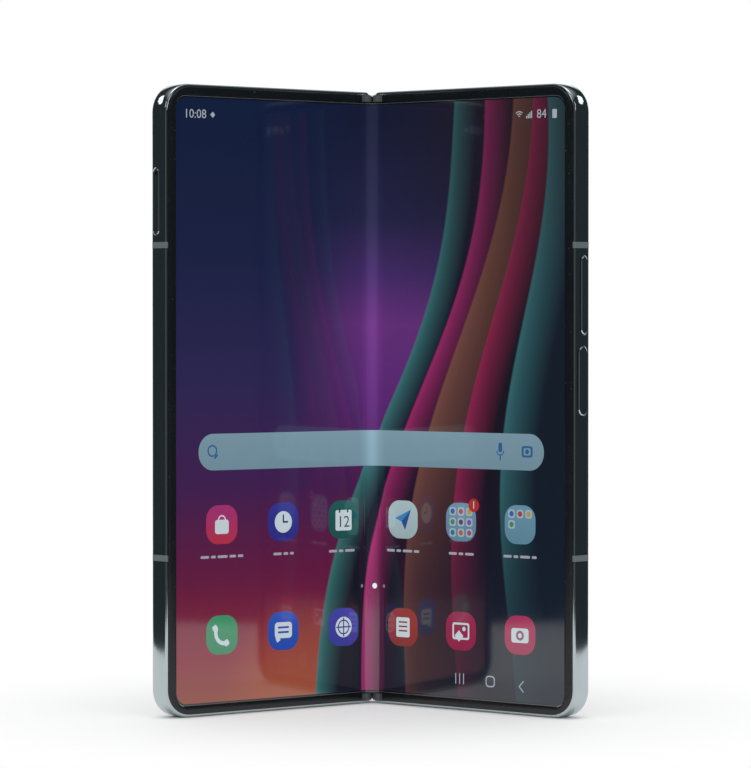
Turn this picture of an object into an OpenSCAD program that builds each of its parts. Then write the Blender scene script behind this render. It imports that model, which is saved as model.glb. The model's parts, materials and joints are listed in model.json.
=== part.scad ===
// Book-type folding phone: two thin halves on a twin-axis geared hinge, with a folding inner screen.
// Units are millimetres. X runs across the phone, Y from front to back and Z up from its bottom edge.
// Each half is drawn on the right, lying flat, and is then turned about its own fold axis or mirrored.

/* [Body] */
// Width of the phone when it lies open and flat
open_width = 129.9; // [126:0.1:140]
// Height of the phone
body_height = 154.9; // [150:0.1:166]
// Thickness of each half, from front rim to back
body_thickness = 6.1; // [6:0.05:6.8]
// Radius of the two outer corners of each half
corner_radius = 7; // [5:0.1:9]
// Radius of the corners beside the hinge
hinge_corner_radius = 2.3; // [1.5:0.1:2.4]
// Rounding along the front edges of the frames
front_edge_radius = 0.55; // [0.2:0.05:0.6]
// Rounding along the back edges of the frames
back_edge_radius = 0.8; // [0.4:0.05:0.85]
// Angle that each half is turned from flat
rest_angle = 39.65; // [0:0.05:90]

/* [Frames] */
// Thickness of the outer side wall
side_wall = 2.2; // [2:0.1:2.8]
// Thickness of the top and bottom walls
end_wall = 2.5; // [2.4:0.1:3]
// Thickness of the floor between screen side and battery side
floor_thickness = 0.6; // [0.4:0.05:0.8]
// Width of the metal left showing round the back glass
glass_border = 0.9; // [0.7:0.1:1.4]
// Thickness of the back glass
glass_thickness = 0.8; // [0.5:0.05:0.9]
// Thickness of the wall between hinge room and battery room
hinge_wall = 1.2; // [0.8:0.1:1.6]
// Assembly clearance between fixed pieces
fit_gap = 0.05; // [0.02:0.01:0.1]

/* [Screen] */
// Distance of the lit screen from the top and bottom of the phone
screen_end_border = 3.3; // [3.2:0.05:5]
// Distance of the lit screen from the outer sides of the phone
screen_side_border = 3.2; // [3.1:0.05:5]
// Unlit border between the lit screen and the soft bezel at the top and bottom
unlit_end = 0.6; // [0.3:0.05:0.65]
// Unlit border between the lit screen and the soft bezel at the outer sides
unlit_side = 0.35; // [0.2:0.05:0.45]
// Thickness of the screen panel
panel_thickness = 0.65; // [0.4:0.05:0.7]
// Depth of the screen surface below the metal rim
panel_recess = 0.15; // [0.05:0.05:0.3]
// Thickness of the support plate behind the screen
plate_thickness = 0.6; // [0.3:0.05:0.7]
// Width of the metal rim that shows round the soft bezel
rim_width = 0.7; // [0.5:0.05:1]
// Height that the soft bezel stands above the metal rim
bezel_rise = 0.45; // [0.2:0.05:0.5]
// Corner radius of the lit screen
screen_corner = 3; // [1:0.1:4]

/* [Hinge] */
// Distance between the two fold axes
axis_spacing = 3.4; // [3.4:0.05:3.6]
// Distance of the front rims ahead of the fold axes
rim_lead = 1.1; // [1:0.05:1.2]
// Outer radius of the hinge spine about each axis
spine_radius = 3.85; // [3.8:0.01:3.9]
// Wall of the spine cover
spine_wall = 0.5; // [0.4:0.01:0.52]
// Running gap between the spine and the two halves
spine_gap = 0.25; // [0.2:0.01:0.3]
// Gap between the two wings when the phone lies flat
wing_slit = 0.3; // [0.2:0.05:0.6]
// Front edge of the spine cover behind the fold axes
cover_edge = 0.8; // [0.78:0.01:0.9]
// Thickness of the frame ears that reach over the ends of the spine
ear_thickness = 0.75; // [0.6:0.05:0.9]
// Running gap between the ears and the ends of the spine
ear_gap = 0.25; // [0.2:0.05:0.4]
// Radius of the round ears and end caps that turn with the halves
knuckle_radius = 1.6; // [1.4:0.01:1.62]
// Reach of the end caps past the fold axes
knuckle_reach = 2.2; // [2:0.05:2.6]
// Reach of the folding zone of the screen past each axis
flex_reach = 3; // [2.8:0.1:3.2]

/* [Hinge drive] */
// Distance of each hinge drive from the phone's end
drive_inset = 14; // [12:0.5:20]
// Length of the block that carries the curved rails
rail_block = 11; // [11:0.1:12]
// Length of each curved rail
rail_length = 4; // [3:0.1:4.2]
// Inner radius of the curved rails
rail_inner = 2; // [1.95:0.01:2.05]
// Outer radius of the curved rails
rail_outer = 2.7; // [2.6:0.01:2.75]
// Running clearance of the rails in their slots
rail_gap = 0.05; // [0.03:0.01:0.08]
// Teeth on each timing gear
gear_teeth = 10; // [10:2:12]
// Pitch radius of the timing gears
gear_pitch = 1; // [0.98:0.005:1.01]
// Width of the timing gears
gear_width = 2; // [1:0.1:2.4]
// Pressure angle of the gear teeth
gear_pressure = 28; // [25:0.5:30]
// Free play between meshing teeth
gear_backlash = 0.05; // [0.03:0.005:0.08]
// Depth of the gear shafts behind the fold axes
shaft_depth = 1.6; // [1.58:0.01:1.62]
// Radius of the gear shafts
shaft_radius = 0.35; // [0.3:0.01:0.4]
// Running clearance of the gears and arms on their shafts
shaft_gap = 0.03; // [0.02:0.005:0.05]
// Length of each swing arm
arm_reach = 6.3; // [6.2:0.05:7]
// Thickness of each swing arm
arm_width = 1.5; // [1.2:0.1:1.8]
// Radius of the pin on each swing arm
pin_radius = 0.3; // [0.25:0.01:0.32]
// Length of each spring stack
spring_length = 4.9; // [4:0.1:6]

/* [Side keys and tray] */
// Height of the upper end of the power key below the phone's top
power_top = 64.1; // [64:0.1:70]
// Length of the power key
power_length = 16.8; // [12:0.1:18]
// Width of the power key
power_width = 3.4; // [2.6:0.1:3.8]
// Height of the upper end of the volume key below the phone's top
volume_top = 42.1; // [42:0.1:44]
// Length of the volume key
volume_length = 19; // [14:0.1:20]
// Width of the volume key
volume_width = 2.4; // [2:0.1:3]
// Height that the keys stand above the side
key_rise = 0.3; // [0.2:0.05:0.5]
// Travel of the keys
key_travel = 0.25; // [0.15:0.05:0.3]
// Gap round each key
key_gap = 0.12; // [0.08:0.01:0.2]
// Chamfer round the outer end of each key
key_chamfer = 0.2; // [0.1:0.05:0.25]
// Chamfer round the openings for the keys and the card tray
mouth_chamfer = 0.15; // [0.05:0.01:0.2]
// Height of the upper end of the card tray below the phone's top
tray_top = 20.7; // [20:0.1:24]
// Length of the card tray's face
tray_length = 16.1; // [15:0.1:17]
// Width of the card tray's face
tray_face_width = 2.2; // [1.8:0.1:2.4]
// Depth that the card tray reaches into the phone
tray_depth = 14; // [12:0.1:16]
// Radius of the eject pin hole
eject_hole_radius = 0.4; // [0.3:0.05:0.5]

/* [Ports and bands] */
// Distance of the upper antenna bands below the phone's top
upper_band_drop = 39.4; // [38:0.1:40]
// Distance of the lower antenna bands above the phone's bottom
lower_band_rise = 39.2; // [30:0.1:48]
// Height of each antenna band
band_height = 1.5; // [0.8:0.1:2]
// Width of the charging port
port_width = 8.9; // [8.4:0.1:9.2]
// Thickness of the charging port
port_height = 3.1; // [2.9:0.05:3.2]
// Wall of the charging port's metal sleeve
port_wall = 0.3; // [0.2:0.05:0.35]
// Number of speaker slots at each end
slot_count = 6; // [3:1:7]
// Length of each speaker slot
slot_length = 1.8; // [1.2:0.1:2.2]
// Width of each speaker slot
slot_width = 0.8; // [0.5:0.1:0.9]
// Distance from slot to slot
slot_pitch = 2; // [1.9:0.1:2.4]

/* [Cameras] */
// Width of the raised camera island
island_width = 14.5; // [13:0.1:16]
// Height of the raised camera island
island_height = 55; // [50:0.5:58]
// Distance of the island from the phone's outer side
island_side = 4.2; // [3.4:0.1:6]
// Distance of the island from the phone's top
island_drop = 6.5; // [5:0.1:8]
// Height of the island above the back glass
island_rise = 1.3; // [0.8:0.1:2]
// Radius of the camera windows
lens_radius = 5; // [4:0.1:5.4]
// Distance from camera to camera
lens_pitch = 17.5; // [15:0.1:19]
// Radius of the small front cameras
small_lens_radius = 1.9; // [1.4:0.1:2.4]

/* [Inside] */
// Thickness of the circuit boards
board_thickness = 0.8; // [0.6:0.05:1]
// Height of the lower boards' upper end
lower_board_top = 33; // [30:0.5:36]
// Radius of the charging coil
coil_radius = 15; // [12:0.1:15.5]
// Radius of the hole in the charging coil
coil_hole = 8; // [5:0.1:10]
// Distance of the charging coil below the middle of the phone
coil_drop = 12; // [8:0.5:14]
// Length of each closing magnet
magnet_length = 20; // [12:0.5:21]
// Width of each closing magnet
magnet_width = 2.1; // [1.5:0.05:2.3]
// Width of the large shield cans
shield_width = 14; // [10:0.5:14.5]
// Height of the lower large shield can
shield_length = 21; // [16:0.5:22]
// Radius of the vibration motor
motor_radius = 4; // [3:0.1:4.5]

/* [Hidden] */
$fn = 64;
fine = 0.01;
over = 1;
axis_x = axis_spacing / 2;
side_x = open_width / 2;
rim_y = -rim_lead;
back_y = body_thickness - rim_lead;
mid_z = body_height / 2;
room_radius = spine_radius + spine_gap;
spine_recess = ear_thickness + ear_gap;
band_heights = [body_height - upper_band_drop, lower_band_rise];
wing_x = wing_slit / 2;
glass_seat_y = back_y - glass_thickness;

// Screen stack, front to back
panel_front_y = rim_y + panel_recess;
panel_back_y = panel_front_y + panel_thickness;
plate_back_y = panel_back_y + plate_thickness;
floor_back_y = plate_back_y + floor_thickness;
bezel_front_y = rim_y - bezel_rise;
flex_x = axis_x + flex_reach;
pocket_side_x = side_x - side_wall;
pocket_top_z = body_height - end_wall;
pocket_corner = corner_radius - side_wall;
battery_x = axis_x + room_radius + hinge_wall;
screen_x = side_x - screen_side_border;
glass_x = battery_x - glass_border;
neck_x = axis_x + knuckle_reach + fit_gap;

// The whole phone is shifted so that its origin lies under the middle of its depth
front_reach = (side_x - axis_x) * sin(rest_angle) + rim_lead * cos(rest_angle);
back_reach = (axis_x - wing_x) * sin(rest_angle) + back_y * cos(rest_angle);
depth_shift = (front_reach - back_reach) / 2;

// Hinge drive, measured outward from its inner end
drive_length = rail_block + gear_width + arm_width + spring_length + 2.6;
drive_z = body_height - drive_inset - drive_length;
rail_step = rail_length + 1;
gear_z = drive_z + rail_block + 0.4;
arm_z = gear_z + gear_width + 0.1;
arm_end_z = arm_z + arm_width;
fin_z = arm_end_z + 0.15;
fin_width = 0.8;
spring_z = arm_end_z + 0.5;
end_plate_z = spring_z + spring_length + 0.1;
end_plate = drive_z + drive_length - end_plate_z;
ear_length = 3.5;
outer_shaft_x = 3 * gear_pitch;
inner_shaft_x = gear_pitch;
arm_drop = 0.8;
pin_x = outer_shaft_x + arm_reach;
pin_y = shaft_depth - arm_drop;
shaft_offset_x = outer_shaft_x - axis_x;
slot_arc_radius = sqrt(pow(shaft_offset_x, 2) + pow(shaft_depth, 2));
slot_arc_start = atan2(shaft_depth, shaft_offset_x);
slot_arc_x = axis_x + arm_reach;
slot_arc_y = -arm_drop;
neck_front_y = 0.1;
neck_back_y = 0.6;
bracket_x = flex_x + 0.1;
fin_x = axis_x + room_radius - 0.2;
bracket_end_x = 14;
web_y = shaft_depth + 1.25 * gear_pitch;
base_radius = spine_radius - spine_wall - fit_gap;

// Keys and tray
power_z = body_height - power_top - power_length / 2;
volume_z = body_height - volume_top - volume_length / 2;
power_y = back_y / 2 - 0.5;
volume_y = back_y / 2;
key_depth = 0.9;
stem_radius = 0.45;
tray_z = body_height - tray_top - tray_length / 2;
tray_thickness = 0.8;
panel_seat_y = glass_seat_y - 0.8;
tray_y = panel_seat_y - tray_thickness / 2 - 0.1;
tray_lip = 1;
tray_margin = 0.5;
reader_wall = 0.3;

// Ports, speakers and cameras
port_x = side_x / 2;
port_y = floor_back_y + port_height / 2 + 0.05;
port_length = 7;
speaker_x = 3 * side_x / 4;
speaker_y = floor_back_y + 1.4;
speaker_reach = slot_count * slot_pitch / 2 + 0.6;
island_x = side_x - island_side - island_width / 2;
island_z = body_height - island_drop - island_height / 2;
front_camera_x = side_x / 2 + 2;
front_camera_z = body_height - 9;

screw_head = 0.8;
screw_shank = 0.4;
screw_gap = 0.02;
right_rail_shift = 1;
left_rail_shift = right_rail_shift + rail_step;
shaft_low_z = drive_z + rail_block - 0.8;
shaft_high_z = end_plate_z + 1.1;
spring_radius = 0.92 * gear_pitch;
spring_cups = 6;
flex_steps = 16;
arm_half_height = 0.32;

// Gear teeth: involute flanks from just above the root to the tip
gear_module = 2 * gear_pitch / gear_teeth;
gear_base = gear_pitch * cos(gear_pressure);
gear_tip = gear_pitch + 0.8 * gear_module;
gear_root = gear_pitch - 1.05 * gear_module;
gear_half_tooth = 90 / gear_teeth - gear_backlash / 4 / gear_pitch * 180 / PI;
flank_steps = 4;
flank_radii = concat([gear_root], [for (i = [0:flank_steps]) gear_base + (gear_tip - gear_base) * i / flank_steps]);
half_tooth_turn = 180 / gear_teeth;

// Inside the halves
board_x = pin_x + 1.4;
board_seat_y = floor_back_y + fit_gap;
board_back_y = board_seat_y + board_thickness;
board_low_z = body_height - tray_top - tray_length - 2;
main_board_low_z = board_low_z - 8;
main_board_x = island_x - island_width / 2 + 1;
battery_gap = 1;
coil_x = (board_x + island_x - island_width / 2) / 2;
coil_y = glass_seat_y - 0.45;
shield_x = board_x + 1;
small_shield_x = shield_x + shield_width + 2;
upper_magnet_z = mid_z - 14 - magnet_length;
lower_magnet_z = upper_magnet_z - 12 - magnet_length;
left_magnet_z = upper_magnet_z + magnet_length + 28;
volume_spread = [-6, 6];
flash_radius = 1.6;
flash_x = island_x - island_width / 2 - 3.6;
flash_z = island_z + lens_pitch;

// Placing: the phone's frame, and the turned halves

module in_phone() {
  translate([0, depth_shift, 0]) children();
}

module on_right() {
  in_phone() translate([axis_x, 0, 0]) rotate([0, 0, -rest_angle]) translate([-axis_x, 0, 0]) children();
}

module on_left() {
  in_phone() mirror([1, 0, 0]) translate([0, -depth_shift, 0]) on_right() children();
}

module at_bottom() {
  translate([0, 0, body_height]) mirror([0, 0, 1]) children();
}

module at_both_ends() {
  children();
  at_bottom() children();
}

module on_both_sides() {
  children();
  mirror([1, 0, 0]) children();
}

// Building blocks

// A flat outline, seen from the front, given thickness from one depth to another
module slab(near, far) {
  translate([0, far, 0]) rotate([90, 0, 0]) linear_extrude(far - near) children();
}

module box(low, high) {
  translate(low) cube(high - low);
}

module post(x, y, low, high, r) {
  translate([x, y, low]) cylinder(h = high - low, r = r);
}

module button_post(x, z, near, far, r) {
  translate([x, near, z]) rotate([-90, 0, 0]) cylinder(h = far - near, r = r);
}

module rect(x0, z0, x1, z1) {
  translate([x0, z0]) square([x1 - x0, z1 - z0]);
}

// Outline with one radius at the hinge side and another at the outer side
module outline(x0, z0, x1, z1, inner_r, outer_r) {
  rect(x0 + inner_r, z0, x1 - outer_r, z1);
  rect(x0, z0 + inner_r, x0 + inner_r + fine, z1 - inner_r);
  rect(x1 - outer_r - fine, z0 + outer_r, x1, z1 - outer_r);
  for (z = [z0 + inner_r, z1 - inner_r]) translate([x0 + inner_r, z]) circle(r = inner_r);
  for (z = [z0 + outer_r, z1 - outer_r]) translate([x1 - outer_r, z]) circle(r = outer_r);
}

module stadium(length, width) {
  square([width, length - width], center = true);
  for (s = [-1, 1]) translate([0, s * (length - width) / 2]) circle(r = width / 2);
}

// Section through a frame edge: a band with its front and back corners rounded
module edge_section(reach) {
  front = rim_y + front_edge_radius;
  back = back_y - back_edge_radius;
  rect(0, rim_y, reach - max(front_edge_radius, back_edge_radius), back_y);
  rect(0, rim_y, reach - front_edge_radius, back);
  rect(0, front, reach - back_edge_radius, back_y);
  rect(0, front, reach, back);
  translate([reach - front_edge_radius, front]) circle(r = front_edge_radius);
  translate([reach - back_edge_radius, back]) circle(r = back_edge_radius);
}

module corner_puck(x, z, r) {
  translate([x, 0, z]) rotate([-90, 0, 0]) rotate_extrude() edge_section(r);
}

// Solid blank of one half with all its outer edges rounded
module half_blank() {
  inner = wing_x + hinge_corner_radius;
  outer = side_x - corner_radius;
  for (z = [corner_radius, body_height - corner_radius]) corner_puck(outer, z, corner_radius);
  for (z = [hinge_corner_radius, body_height - hinge_corner_radius]) {
    corner_puck(inner, z, hinge_corner_radius);
  }
  translate([outer, 0, corner_radius]) linear_extrude(body_height - 2 * corner_radius) {
    edge_section(corner_radius);
  }
  translate([inner, 0, hinge_corner_radius]) mirror([1, 0, 0]) {
    linear_extrude(body_height - 2 * hinge_corner_radius) edge_section(hinge_corner_radius);
  }
  for (end = [0, 1]) translate([inner, 0, mid_z]) mirror([0, 0, end]) rotate([90, 0, 90]) {
    linear_extrude(outer - inner) mirror([1, -1]) edge_section(mid_z);
  }
}

// Part of each end wall that reaches over the spine's end, rounded about the fold axis
module end_ear() {
  low = body_height - ear_thickness;
  high = body_height + 2 * over;
  post(axis_x, 0, low, high, knuckle_radius);
  box([-2 * over, 0, low], [axis_x + fine, back_y + over, high]);
  box([axis_x, rim_y - 2 * over, low], [axis_x + 2 * room_radius, back_y + over, high]);
}

// Room that the spine needs, leaving the ears over its ends and the short necks beside the end caps
module hinge_room() {
  difference() {
    union() {
      post(axis_x, 0, -over, body_height + over, room_radius);
      box([-over, rim_y - over, -over], [axis_x, room_radius, body_height + over]);
    }
    at_both_ends() {
      box([neck_x, rim_y - 2 * over, pocket_top_z + 0.1], [axis_x + 2 * room_radius, plate_back_y, body_height + 2 * over]);
      end_ear();
    }
  }
}

// Room for one swing arm, its guide fin and the bracket's step, inside the frame
module drive_room() {
  box([axis_x, rim_y - over, arm_z - 0.2], [pin_x + 0.9, slot_arc_radius + arm_drop / 2, fin_z + fin_width + 0.2]);
  box([axis_x, rim_y - over, drive_z - 0.2], [flex_x + 1.4, neck_back_y + 0.1, drive_z + drive_length + 0.2]);
}

module band_box(z) {
  box([side_x - side_wall, rim_y - over, z - band_height / 2], [side_x + over, back_y + over, z + band_height / 2]);
}

module battery_room() {
  slab(floor_back_y, back_y + over) {
    outline(battery_x, end_wall, pocket_side_x, pocket_top_z, 1, pocket_corner);
  }
}

module glass_outline(gap) {
  border = glass_border + gap;
  outline(glass_x + gap, border, side_x - border, body_height - border, 1, corner_radius - border);
}

module screen_room() {
  slab(rim_y - over, plate_back_y) outline(-over, end_wall, pocket_side_x, pocket_top_z, 0.5, pocket_corner);
}

// Frame of one half without its ports and key openings
module half_frame() {
  difference() {
    half_blank();
    hinge_room();
    screen_room();
    battery_room();
    slab(glass_seat_y, back_y + over) glass_outline(0);
    at_both_ends() drive_room();
    for (z = band_heights) band_box(z);
  }
}

module half_bands() {
  difference() {
    intersection() {
      half_blank();
      union() for (z = band_heights) band_box(z);
    }
    slab(glass_seat_y, back_y + over) glass_outline(0);
  }
}

module half_bezel() {
  window_z = screen_end_border - unlit_end;
  module ring(near, far, x1, edge, r) {
    slab(near, far) difference() {
      outline(neck_x, edge, x1, body_height - edge, fine, r);
      outline(-over, window_z, screen_x + unlit_side, body_height - window_z, fine, screen_corner);
    }
  }
  ring(bezel_front_y, rim_y, side_x - rim_width, rim_width, corner_radius - rim_width);
  ring(rim_y, panel_front_y, pocket_side_x - fit_gap, end_wall + fit_gap, pocket_corner - fit_gap);
}

module half_display() {
  slab(panel_front_y, panel_back_y) {
    outline(flex_x, end_wall + fit_gap, pocket_side_x - fit_gap, pocket_top_z - fit_gap, fine, pocket_corner - fit_gap);
  }
}

module half_support_plate() {
  difference() {
    slab(panel_back_y, plate_back_y) {
      outline(bracket_x, end_wall + fit_gap, pocket_side_x - fit_gap, pocket_top_z - fit_gap, fine, pocket_corner - fit_gap);
    }
    at_both_ends() box([0, rim_y, drive_z - fit_gap], [bracket_end_x + fit_gap, back_y, drive_z + drive_length + fit_gap]);
    button_post(front_camera_x, front_camera_z, rim_y, back_y, small_lens_radius + 0.3);
  }
}

module half_end_caps() {
  low = pocket_top_z + fit_gap;
  high = body_height - ear_thickness - fit_gap;
  at_both_ends() {
    post(axis_x, 0, low, high, knuckle_radius);
    box([axis_x, rim_y, low], [axis_x + knuckle_reach, plate_back_y, high]);
  }
}

// Bracket that carries a half on one hinge drive: plate, curved rail and guide fin.
// The rail lies rail_shift above the drive's inner end.
module half_bracket(rail_shift) {
  rail_z = drive_z + rail_shift;
  difference() {
    union() {
      box([bracket_x, panel_back_y, drive_z], [bracket_end_x, plate_back_y, drive_z + drive_length]);
      box([fin_x, panel_back_y, fin_z], [pin_x + 0.8, slot_arc_radius, fin_z + fin_width]);
    }
    box([0, rim_y, arm_z - 0.15], [pin_x + 0.75, back_y, fin_z]);
    guide_slot();
    bracket_screw_set(screw_gap);
  }
  box([axis_x + rail_inner, neck_front_y, rail_z], [bracket_x + 1, neck_back_y, rail_z + rail_length]);
  box([bracket_x, panel_back_y, rail_z], [bracket_x + 1, neck_back_y, rail_z + rail_length]);
  difference() {
    post(axis_x, 0, rail_z, rail_z + rail_length, rail_outer);
    post(axis_x, 0, rail_z - over, rail_z + rail_length + over, rail_inner);
    box([-spine_radius, -spine_radius, rail_z - over], [side_x, neck_front_y, rail_z + rail_length + over]);
  }
}

// Curved slot that the pin of the swing arm runs in, cut through the fin
module guide_slot() {
  low = fin_z - over;
  high = fin_z + fin_width + over;
  wide = pin_radius + rail_gap;
  translate([slot_arc_x, slot_arc_y, 0]) rotate([0, 0, slot_arc_start]) {
    intersection() {
      difference() {
        post(0, 0, low, high, slot_arc_radius + wide);
        post(0, 0, low - over, high + over, slot_arc_radius - wide);
      }
      box([0, 0, low], [2 * slot_arc_radius, 2 * slot_arc_radius, high]);
    }
    post(slot_arc_radius, 0, low, high, wide);
    post(0, slot_arc_radius, low, high, wide);
  }
}

module bracket_screw_set(gap) {
  for (z = [drive_z + 1.6, drive_z + drive_length - 1.6]) {
    button_post(bracket_end_x - 1.6, z, panel_back_y - gap, panel_back_y + 0.25, screw_head + gap);
    button_post(bracket_end_x - 1.6, z, panel_back_y, floor_back_y + gap, screw_shank + gap);
  }
}

// Hinge spine

module spine_section(r, front) {
  intersection() {
    union() {
      for (s = [-1, 1]) translate([s * axis_x, 0]) circle(r = r);
      rect(-axis_x, 0, axis_x, r);
    }
    rect(-2 * r, front, 2 * r, 2 * r);
  }
}

module hinge_cover() {
  color("#1d2426") in_phone() difference() {
    translate([0, 0, spine_recess]) linear_extrude(body_height - 2 * spine_recess) difference() {
      spine_section(spine_radius, cover_edge);
      spine_section(spine_radius - spine_wall, cover_edge - over);
    }
    at_both_ends() {
      for (s = [0, 1]) mirror([s, 0, 0]) {
        box([axis_x, cover_edge - over, arm_z - 0.2], [axis_x + 2 * spine_radius, pin_y + 0.6, fin_z]);
      }
      hinge_screw_set(screw_gap);
    }
  }
}

module spine_caps() {
  color("#15191b") in_phone() at_both_ends() translate([0, 0, pocket_top_z]) {
    linear_extrude(body_height - spine_recess - pocket_top_z) difference() {
      spine_section(base_radius, cover_edge);
      for (s = [-1, 1]) translate([s * axis_x, 0]) circle(r = knuckle_radius + 0.15);
    }
  }
}

module rail_room(side, rail_shift) {
  low = drive_z + rail_shift - 0.2;
  high = drive_z + rail_shift + rail_length + 0.2;
  difference() {
    post(side * axis_x, 0, low, high, rail_outer + rail_gap);
    post(side * axis_x, 0, low - over, high + over, rail_inner - rail_gap);
  }
}

module hinge_screw_set(gap) {
  for (z = [drive_z - ear_length / 2, drive_z + drive_length + ear_length / 2]) {
    button_post(0, z, base_radius - 0.8 - 0.5, base_radius - 0.8, screw_head + 0.2 - gap);
    button_post(0, z, base_radius - 0.8, spine_radius - 0.15 + gap, screw_shank + gap);
  }
}

module hinge_base() {
  module core(low, high, front) {
    translate([0, 0, low]) linear_extrude(high - low) spine_section(base_radius, front);
  }
  difference() {
    union() {
      core(drive_z, drive_z + rail_block, cover_edge);
      core(end_plate_z, end_plate_z + end_plate, cover_edge);
      core(drive_z + rail_block, end_plate_z, web_y);
      core(drive_z - ear_length, drive_z, base_radius - 0.8);
      core(end_plate_z + end_plate, end_plate_z + end_plate + ear_length, base_radius - 0.8);
    }
    rail_room(1, right_rail_shift);
    rail_room(-1, left_rail_shift);
    for (x = [-outer_shaft_x, -inner_shaft_x, inner_shaft_x, outer_shaft_x]) {
      post(x, shaft_depth, shaft_low_z - fit_gap, shaft_high_z + fit_gap, shaft_radius + fit_gap / 2);
    }
    hinge_screw_set(screw_gap);
  }
}

module hinge_base_top() {
  color("#6d7276") in_phone() hinge_base();
}

module hinge_base_bottom() {
  color("#6d7276") in_phone() at_bottom() hinge_base();
}

module hinge_shafts() {
  color("#b9bcc0") in_phone() at_both_ends() {
    for (x = [-outer_shaft_x, -inner_shaft_x, inner_shaft_x, outer_shaft_x]) {
      post(x, shaft_depth, shaft_low_z, shaft_high_z, shaft_radius);
    }
  }
}

// Stacks of cupped springs that press on the friction washers and hold any fold angle
module hinge_springs() {
  step = spring_length / (2 * spring_cups);
  inner = shaft_radius + shaft_gap;
  outer = spring_radius - 0.25;
  color("#8f9498") in_phone() at_both_ends() {
    for (x = [-outer_shaft_x, -inner_shaft_x, inner_shaft_x, outer_shaft_x]) {
      translate([x, shaft_depth, spring_z]) rotate_extrude() polygon(concat(
        [for (i = [0:2 * spring_cups]) [inner + (i % 2) * (outer - inner), i * step]],
        [for (i = [2 * spring_cups:-1:0]) [inner + 0.25 + (i % 2) * (outer - inner), i * step]]
      ));
    }
  }
}

module friction_washers() {
  color("#a98b52") in_phone() at_both_ends() {
    for (x = [-outer_shaft_x, -inner_shaft_x, inner_shaft_x, outer_shaft_x]) difference() {
      post(x, shaft_depth, arm_end_z + fit_gap, spring_z, spring_radius);
      post(x, shaft_depth, arm_end_z, spring_z + over, shaft_radius + shaft_gap);
    }
  }
}

module hinge_screws() {
  color("#c3c6c8") in_phone() at_both_ends() difference() {
    hinge_screw_set(0);
    for (z = [drive_z - ear_length / 2, drive_z + drive_length + ear_length / 2]) {
      box([-0.6, 0, z - 0.1], [0.6, base_radius - 1.1, z + 0.1]);
    }
  }
}

// Point on the folding zone of the screen, at a distance from the fold's middle and at a depth.
// Its turn about the fold axis grows smoothly from nothing to that of the half.
function flex_turn(x) = let (t = min(1, x / flex_x)) rest_angle * t * t * (3 - 2 * t);
function turned(x, y, a) = [axis_x + (x - axis_x) * cos(a) + y * sin(a), y * cos(a) - (x - axis_x) * sin(a)];
function flex_point(x, y) = turned(x, y, flex_turn(x));
function flex_line(y) = [for (i = [0:flex_steps]) flex_point(flex_x * i / flex_steps, y)];
function reversed(list) = [for (i = [len(list) - 1:-1:0]) list[i]];
function flipped(list) = [for (p = list) [-p.x, p.y]];

module fold_display() {
  front = flex_line(panel_front_y);
  back = flex_line(panel_back_y);
  low = end_wall + fit_gap;
  color("#2c2440") in_phone() translate([0, 0, low]) linear_extrude(body_height - 2 * low) {
    polygon(concat(reversed(flipped(front)), front, reversed(back), flipped(back)));
  }
}

// Timing gears and swing arms

function roll(r) = tan(acos(gear_base / r)) * 180 / PI - acos(gear_base / r);
function tooth_half(r) = gear_half_tooth + roll(gear_pitch) - roll(max(r, gear_base));
function polar(r, a) = [r * cos(a), r * sin(a)];
function flank(side, middle) = [
  for (r = flank_radii) polar(r, middle + side * tooth_half(r))
];
function gear_outline() = [
  for (i = [0:gear_teeth - 1]) each concat(
    flank(-1, i * 360 / gear_teeth),
    reversed(flank(1, i * 360 / gear_teeth))
  )
];

module timing_gear(turn) {
  translate([0, 0, gear_z]) rotate([0, 0, turn]) linear_extrude(gear_width) polygon(gear_outline());
}

module bar(from, to, half_width) {
  run = to - from;
  translate(from) rotate([0, 0, atan2(run.y, run.x)]) translate([0, -half_width]) {
    square([norm(run), 2 * half_width]);
  }
}

// Swing arm seen flat, about its own shaft, with its gear and its guide pin
module swing_arm(gear_turn) {
  knee = [1.5, -arm_drop];
  pin = [arm_reach, -arm_drop];
  difference() {
    union() {
      timing_gear(gear_turn);
      post(0, 0, gear_z + gear_width - 0.1, arm_z + 0.1, 0.7 * gear_pitch);
      translate([0, 0, arm_z]) linear_extrude(arm_width) {
        circle(r = 0.9 * gear_pitch);
        bar([0, 0], knee, arm_half_height);
        bar(knee, pin, arm_half_height);
        translate(knee) circle(r = arm_half_height);
        translate(pin) circle(r = pin_radius + 0.2);
      }
      post(pin.x, pin.y, arm_end_z - 0.1, fin_z + fin_width - fit_gap, pin_radius);
    }
    post(0, 0, gear_z - over, arm_end_z + over, shaft_radius + shaft_gap);
  }
}

module idler(gear_turn) {
  difference() {
    union() {
      timing_gear(gear_turn);
      post(0, 0, gear_z + gear_width - 0.1, arm_end_z, 0.6 * gear_pitch);
    }
    post(0, 0, gear_z - over, arm_end_z + over, shaft_radius + shaft_gap);
  }
}

module on_shaft(x, turn) {
  translate([x, shaft_depth, 0]) rotate([0, 0, turn]) children();
}

module right_arms() {
  color("#9aa0a4") in_phone() at_both_ends() on_shaft(outer_shaft_x, -rest_angle) swing_arm(half_tooth_turn);
}

module left_arms() {
  color("#9aa0a4") in_phone() at_both_ends() mirror([1, 0, 0]) on_shaft(outer_shaft_x, -rest_angle) swing_arm(0);
}

module right_idlers() {
  color("#a7a38f") in_phone() at_both_ends() on_shaft(inner_shaft_x, rest_angle) idler(0);
}

module left_idlers() {
  color("#a7a38f") in_phone() at_both_ends() mirror([1, 0, 0]) on_shaft(inner_shaft_x, rest_angle) idler(half_tooth_turn);
}

// Pieces that both halves share

module half_bracket_screws() {
  at_both_ends() bracket_screw_set(0);
}

module small_camera(near, far) {
  difference() {
    button_post(front_camera_x, front_camera_z, near, far, small_lens_radius);
    button_post(front_camera_x, front_camera_z, far - 0.2, far + over, 0.6 * small_lens_radius);
  }
}

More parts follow.
